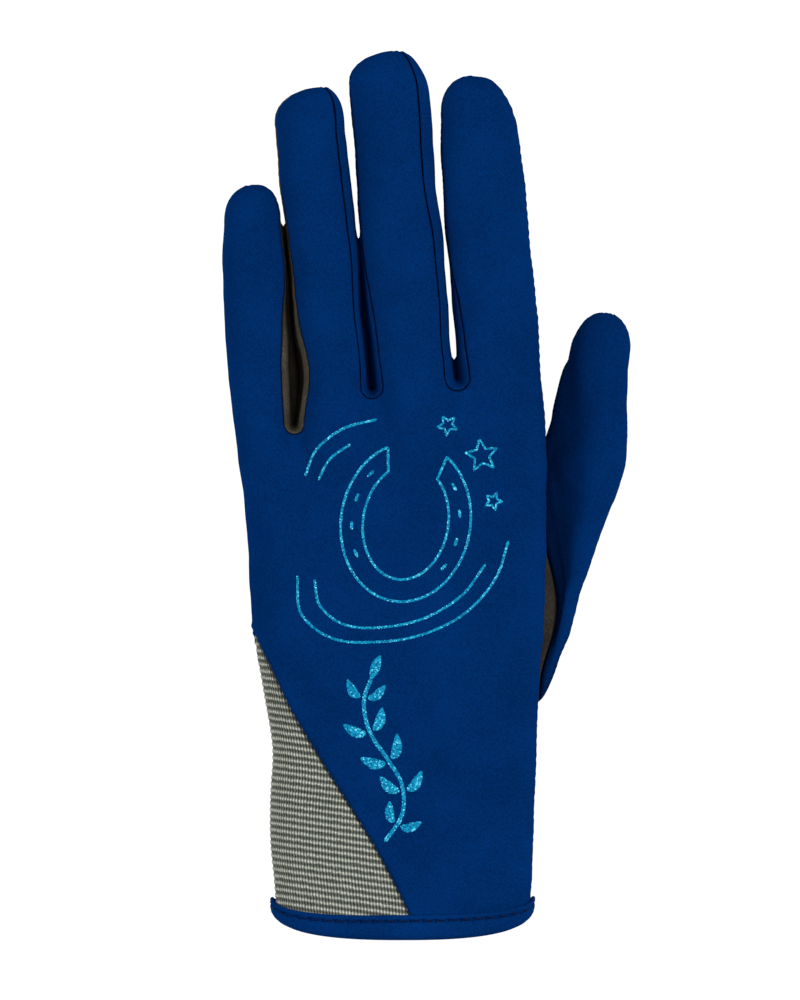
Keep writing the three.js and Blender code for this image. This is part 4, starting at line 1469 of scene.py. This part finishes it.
def cloth_look(name, tone, knit=0.5):
    """Fine stretch knit: narrow wales up the hand, grain and soft mottling, dark stitched seams, and
    painted shade in the folds."""
    look = Look(name, Roughness=0.9, Specular_IOR_Level=0.0, Sheen_Weight=0.04, Sheen_Roughness=0.5,
                Sheen_Tint=(0.0, 0.12, 0.9, 1))
    wales = look.node("ShaderNodeTexWave", {
        "Vector": look.place, "Scale": 1 / (knit * MM) / 3.2, "Distortion": 1.5, "Detail": 2.0,
        "Detail Scale": 3.0,
    }, bands_direction="X").outputs["Fac"]
    twill = look.node("ShaderNodeTexWave", {
        "Vector": look.place, "Scale": 1 / (0.6 * MM) / 3.2, "Distortion": 2.5, "Detail": 2.0,
        "Detail Scale": 2.0,
    }, bands_direction="DIAGONAL").outputs["Fac"]
    broad = look.noise(17.0, 3.0, 0.55)
    grain = look.noise(0.55, 2.0, 0.65)
    mottle = look.math("MULTIPLY_ADD", grain, 0.65, look.math("MULTIPLY", broad, 0.31))
    mottle = look.math("MULTIPLY_ADD", twill, 0.04, mottle)
    shades = [tuple(share * channel for channel in tone) for share in (0.78, 1.0, 1.24)]
    cloth = look.ramp(mottle, *zip((0.38, 0.5, 0.62), shades))
    seam = look.node("ShaderNodeSeparateXYZ", {
        0: look.node("ShaderNodeAttribute", attribute_name="seam").outputs["Vector"],
    })
    away, along, deep = (seam.outputs[axis] for axis in "XYZ")
    pull = look.math("SINE", look.math("MULTIPLY", along, 2 * math.pi / SEAM_STITCH))
    stitches = look.math("MULTIPLY_ADD", pull, 0.06, 0.42)
    line = look.math("SUBTRACT", 1.0, look.node("ShaderNodeMapRange", {
        "Value": away, "From Min": 0.14, "From Max": stitches,
    }).outputs["Result"])
    # The seam line is the dark stitched thread; the deep mark adds painted shade low in the gaps
    line = look.math("MULTIPLY", look.math("MAXIMUM", line, deep), 0.9)
    dark = tuple(0.06 * channel for channel in tone)
    blend = look.node("ShaderNodeMix", {"Factor": line, "A": cloth, "B": (*dark, 1)}, data_type="RGBA")
    look.colour(look.socket(blend.outputs, "Result"))
    height = look.math("MULTIPLY_ADD", wales, 0.5, look.math("MULTIPLY", grain, 0.9))
    look.relief(height, 0.06, 0.7)
    return look.material


def suede_look(name, shade):
    """Napped suede: short brushed fibres, paler where the nap lies over, and painted shade deep in a fold.
    """
    look = Look(name, Roughness=0.95, Specular_IOR_Level=0.04)
    nap = look.noise(0.45, 4.0, 0.65, look.stretched(1.0, 0.55, 1.0))
    brushed = look.noise(7.0, 3.0, 0.6)
    tone = look.math("MULTIPLY_ADD", nap, 0.6, look.math("MULTIPLY", brushed, 0.4))
    shades = [tuple(shade * channel for channel in tint) for tint in SUEDE_TINTS]
    napped = look.ramp(tone, *zip((0.3, 0.5, 0.72), shades))
    deep = look.node("ShaderNodeSeparateXYZ", {
        0: look.node("ShaderNodeAttribute", attribute_name="seam").outputs["Vector"],
    }).outputs["Z"]
    # Painted shade: the deep mark darkens the suede to near black low in the gaps
    blend = look.node("ShaderNodeMix", {
        "Factor": deep, "A": napped, "B": (0.0008, 0.0008, 0.0007, 1),
    }, data_type="RGBA")
    look.colour(look.socket(blend.outputs, "Result"))
    look.relief(nap, 0.12, 0.9)
    return look.material


def elastic_look():
    """Ribbed elastic: pale knots in rows, with dark gaps between the ribs and between the knots, partly
    the weave's own tones and partly painted highlight and painted shade, and painted shade along the edge
    under the cloth's fold.
    """
    look = Look("elastic", Roughness=0.8, Specular_IOR_Level=0.15)
    weave = look.node("ShaderNodeAttribute", attribute_name="weave").outputs["Vector"]
    parts = look.node("ShaderNodeSeparateXYZ", {0: weave})
    across, up, inset = (parts.outputs[axis] for axis in "XYZ")
    jitter = look.noise(1.3, 2.0, 0.6)
    wobble = look.math("MULTIPLY_ADD", jitter, 2.4, -1.2)

    def wave(along, pitch):
        turn = look.math("MULTIPLY_ADD", along, 2 * math.pi / pitch, wobble)
        return look.math("MULTIPLY_ADD", look.math("COSINE", turn), 0.5, 0.5)

    rib, knot = wave(up, RIB_PITCH), wave(across, KNOT_PITCH)
    valley, hollow = (look.math("SUBTRACT", 1.0, value) for value in (rib, knot))
    # Pale on the knots and dark in the gaps: partly the weave's own tones, partly painted highlight on the
    # knots and painted shade in the valleys
    light = look.math("POWER", look.math("MULTIPLY", rib, knot), 1.5)
    dark = look.math("POWER", look.math("MULTIPLY", valley, hollow), 1.1)
    tone = look.math("MULTIPLY_ADD", light, 0.46, look.math("MULTIPLY_ADD", rib, 0.12, 0.42))
    tone = look.math("MULTIPLY_ADD", dark, -0.46, tone)
    tone = look.math("ADD", tone, look.math("MULTIPLY_ADD", look.noise(0.4, 2.0, 0.6), 0.5, -0.25))
    # Painted shade along the edge where the cloth's fold lies over the elastic
    tuck_and_painted_shade = look.node("ShaderNodeMapRange", {
        "Value": inset, "From Min": 0.3, "From Max": 0.8, "To Min": -0.5, "To Max": 0.0,
    }).outputs["Result"]
    tone = look.math("ADD", tone, tuck_and_painted_shade)
    look.colour(look.ramp(
        tone, (0.06, (0.010, 0.014, 0.010)), (0.4, (0.078, 0.085, 0.072)), (0.62, (0.152, 0.162, 0.138)),
        (0.98, (0.41, 0.42, 0.37))))
    look.relief(tone, 0.16, 0.8)
    return look.material


def thread_look():
    look = Look("thread", Roughness=0.7, Specular_IOR_Level=0.05)
    twist = look.noise(0.3, 2.0, 0.6)
    look.colour(look.ramp(twist, (0.3, (0.0002, 0.0015, 0.010)), (0.7, (0.0004, 0.008, 0.045))))
    look.relief(twist, 0.05, 0.6)
    return look.material


def glitter_look():
    """Turquoise glitter: small flakes, each at its own tilt and tone, the palest of them painted
    highlights for flashing flakes.
    """
    look = Look("glitter", Roughness=0.4, Specular_IOR_Level=0.03)
    flakes = look.cells(0.33)
    shade = look.node("ShaderNodeSeparateColor", {"Color": flakes.outputs["Color"]}).outputs["Red"]
    look.colour(look.ramp(
        shade, (0.0, (0.0002, 0.058, 0.15)), (0.4, (0.001, 0.135, 0.265)), (0.85, (0.003, 0.23, 0.39)),
        (0.99, (0.12, 0.56, 0.72))))
    look.relief(flakes.outputs["Distance"], 0.10, 0.6)
    return look.material


def floor_look():
    """A light table, evenly white."""
    look = Look("light_table", Roughness=0.9, Specular_IOR_Level=0.0, Emission_Strength=1.0)
    look.shader.inputs["Emission Color"].default_value = (1, 1, 1, 1)
    tone = look.noise(60.0, 2.0, 0.5)
    look.colour(look.ramp(tone, (0.3, (0.05, 0.05, 0.05)), (0.7, (0.06, 0.06, 0.06))))
    return look.material


# The camera, straight above, with the photograph's height in pixels, its scale, and the row of pixels
# in which the hem ends
FRAME_HEIGHT = 1000
PIXELS_PER_MM = 3.8
HEM_ROW = 940
FRAME_CENTRE = (0.0, (HEM_ROW - FRAME_HEIGHT / 2) / PIXELS_PER_MM)
FOCUS_HEIGHT = 9.0
CAMERA_HEIGHT = 10000.0
SENSOR = 36.0


def add_camera():
    data = bpy.data.cameras.new("camera")
    data.sensor_width = SENSOR
    data.lens = SENSOR * (CAMERA_HEIGHT - FOCUS_HEIGHT) / (FRAME_HEIGHT / PIXELS_PER_MM)
    data.clip_end = 30
    camera = bpy.data.objects.new("camera", data)
    camera.location = frame_place([(*FRAME_CENTRE, CAMERA_HEIGHT)])[0]
    bpy.context.scene.collection.objects.link(camera)
    bpy.context.scene.camera = camera


def add_light(name, place, size, power):
    """A round light that faces the glove."""
    data = bpy.data.lights.new(name, "AREA")
    data.shape = "DISK"
    data.size = size
    data.energy = power
    light = bpy.data.objects.new(name, data)
    light.location = place
    light.rotation_mode = "QUATERNION"
    light.rotation_quaternion = (-Vector(place)).to_track_quat("-Z", "Y")
    light.visible_camera = False
    bpy.context.scene.collection.objects.link(light)


# The studio, in metres: the floor's reach and level, the room's light, and the lights' names, places,
# sizes and powers
FLOOR_REACH = 6.0
FLOOR_LEVEL = -0.0001
ROOM_LIGHT = 0.38
LIGHTS = [
    ("overhead", (0.1, 0.1, 2.4), 1.2, 22),
    ("right_side", (1.84, 0.3, 1.54), 1.0, 60),
    ("left_side", (-2.12, 0.2, 1.13), 0.9, 45),
]


def add_studio():
    """A white floor under soft light from nearly straight above and from both sides."""
    mesh = bpy.data.meshes.new("floor")
    corners = [(FLOOR_REACH * x, FLOOR_REACH * y, 0) for x, y in ((-1, -1), (1, -1), (1, 1), (-1, 1))]
    mesh.from_pydata(corners, [], [(0, 1, 2, 3)])
    mesh.materials.append(floor_look())
    floor = bpy.data.objects.new("floor", mesh)
    floor.location.z = FLOOR_LEVEL
    bpy.context.scene.collection.objects.link(floor)
    world = bpy.data.worlds.new("studio")
    world.use_nodes = True
    background = world.node_tree.nodes["Background"]
    background.inputs["Color"].default_value = (1, 1, 1, 1)
    background.inputs["Strength"].default_value = ROOM_LIGHT
    bpy.context.scene.world = world
    for light in LIGHTS:
        add_light(*light)
    bpy.context.scene.view_settings.view_transform = "Standard"
    bpy.context.scene.view_settings.look = "None"


def numbers(box):
    return [list(corner) for corner in box]


def main():
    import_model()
    hand, knuckles = build_hand()
    thumb = build_thumb()
    low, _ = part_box("back_panel")
    _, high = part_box("palm_panel")
    OFFSET[X] = low.x / MM - hand.points[:, X].min()
    OFFSET[Y] = high.y / MM - hand.points[:, Y].max()
    open_thumb(hand, thumb)

    blue = cloth_look("cloth", CLOTH_BLUE)
    edging = cloth_look("binding", BINDING_BLUE, 0.7)
    # The strip's suede is a lighter copy of the suede: painted light for its steep walls
    suede, strip_suede_painted_light = suede_look("suede", SUEDE_SHADE), suede_look("strip_suede_painted_light", STRIP_PAINTED_LIGHT)
    elastic, thread = elastic_look(), thread_look()
    panels = [
        (hand, "back_panel", blue, "cloth"),
        (hand, "palm_panel", suede, "suede"),
        (hand, STRIPS[0], strip_suede_painted_light, "suede"),
        (hand, STRIPS[1], blue, "cloth"),
        (hand, STRIPS[2], blue, "cloth"),
        (thumb, "thumb_back", blue, "cloth"),
        (thumb, "thumb_palm", suede, "suede"),
    ]
    for source, name, look, slot in panels:
        outer, inner, faces, marks = source.shell(name)
        # The painted shade is kept only on the fourchettes and the thumb's back
        marks[:, 2] *= name in (*STRIPS, "thumb_back")
        points, faces = walled(outer, inner, faces)
        make(f"{name}_sewn", points, faces, look, slot, [name], ("seam", np.vstack([marks, marks])))

    points, faces, marks = build_elastic(knuckles)
    make("wrist_elastic_ribbed", points, faces, elastic, "elastic", ["wrist_elastic"], ("weave", marks))

    points, faces, seam = build_binding(knuckles)
    far = ("seam", np.full((len(points), 3), (SEAM_REACH, 0.0, 0.0)))
    make("hem_binding_folded", points, faces, edging, "binding", ["hem_binding"], far)
    make("hem_stitches", *hem_stitches(*seam), thread, "thread")
    make("glitter_print", *build_print(hand.tree(True)), glitter_look(), "print")

    add_camera()
    add_studio()


main()
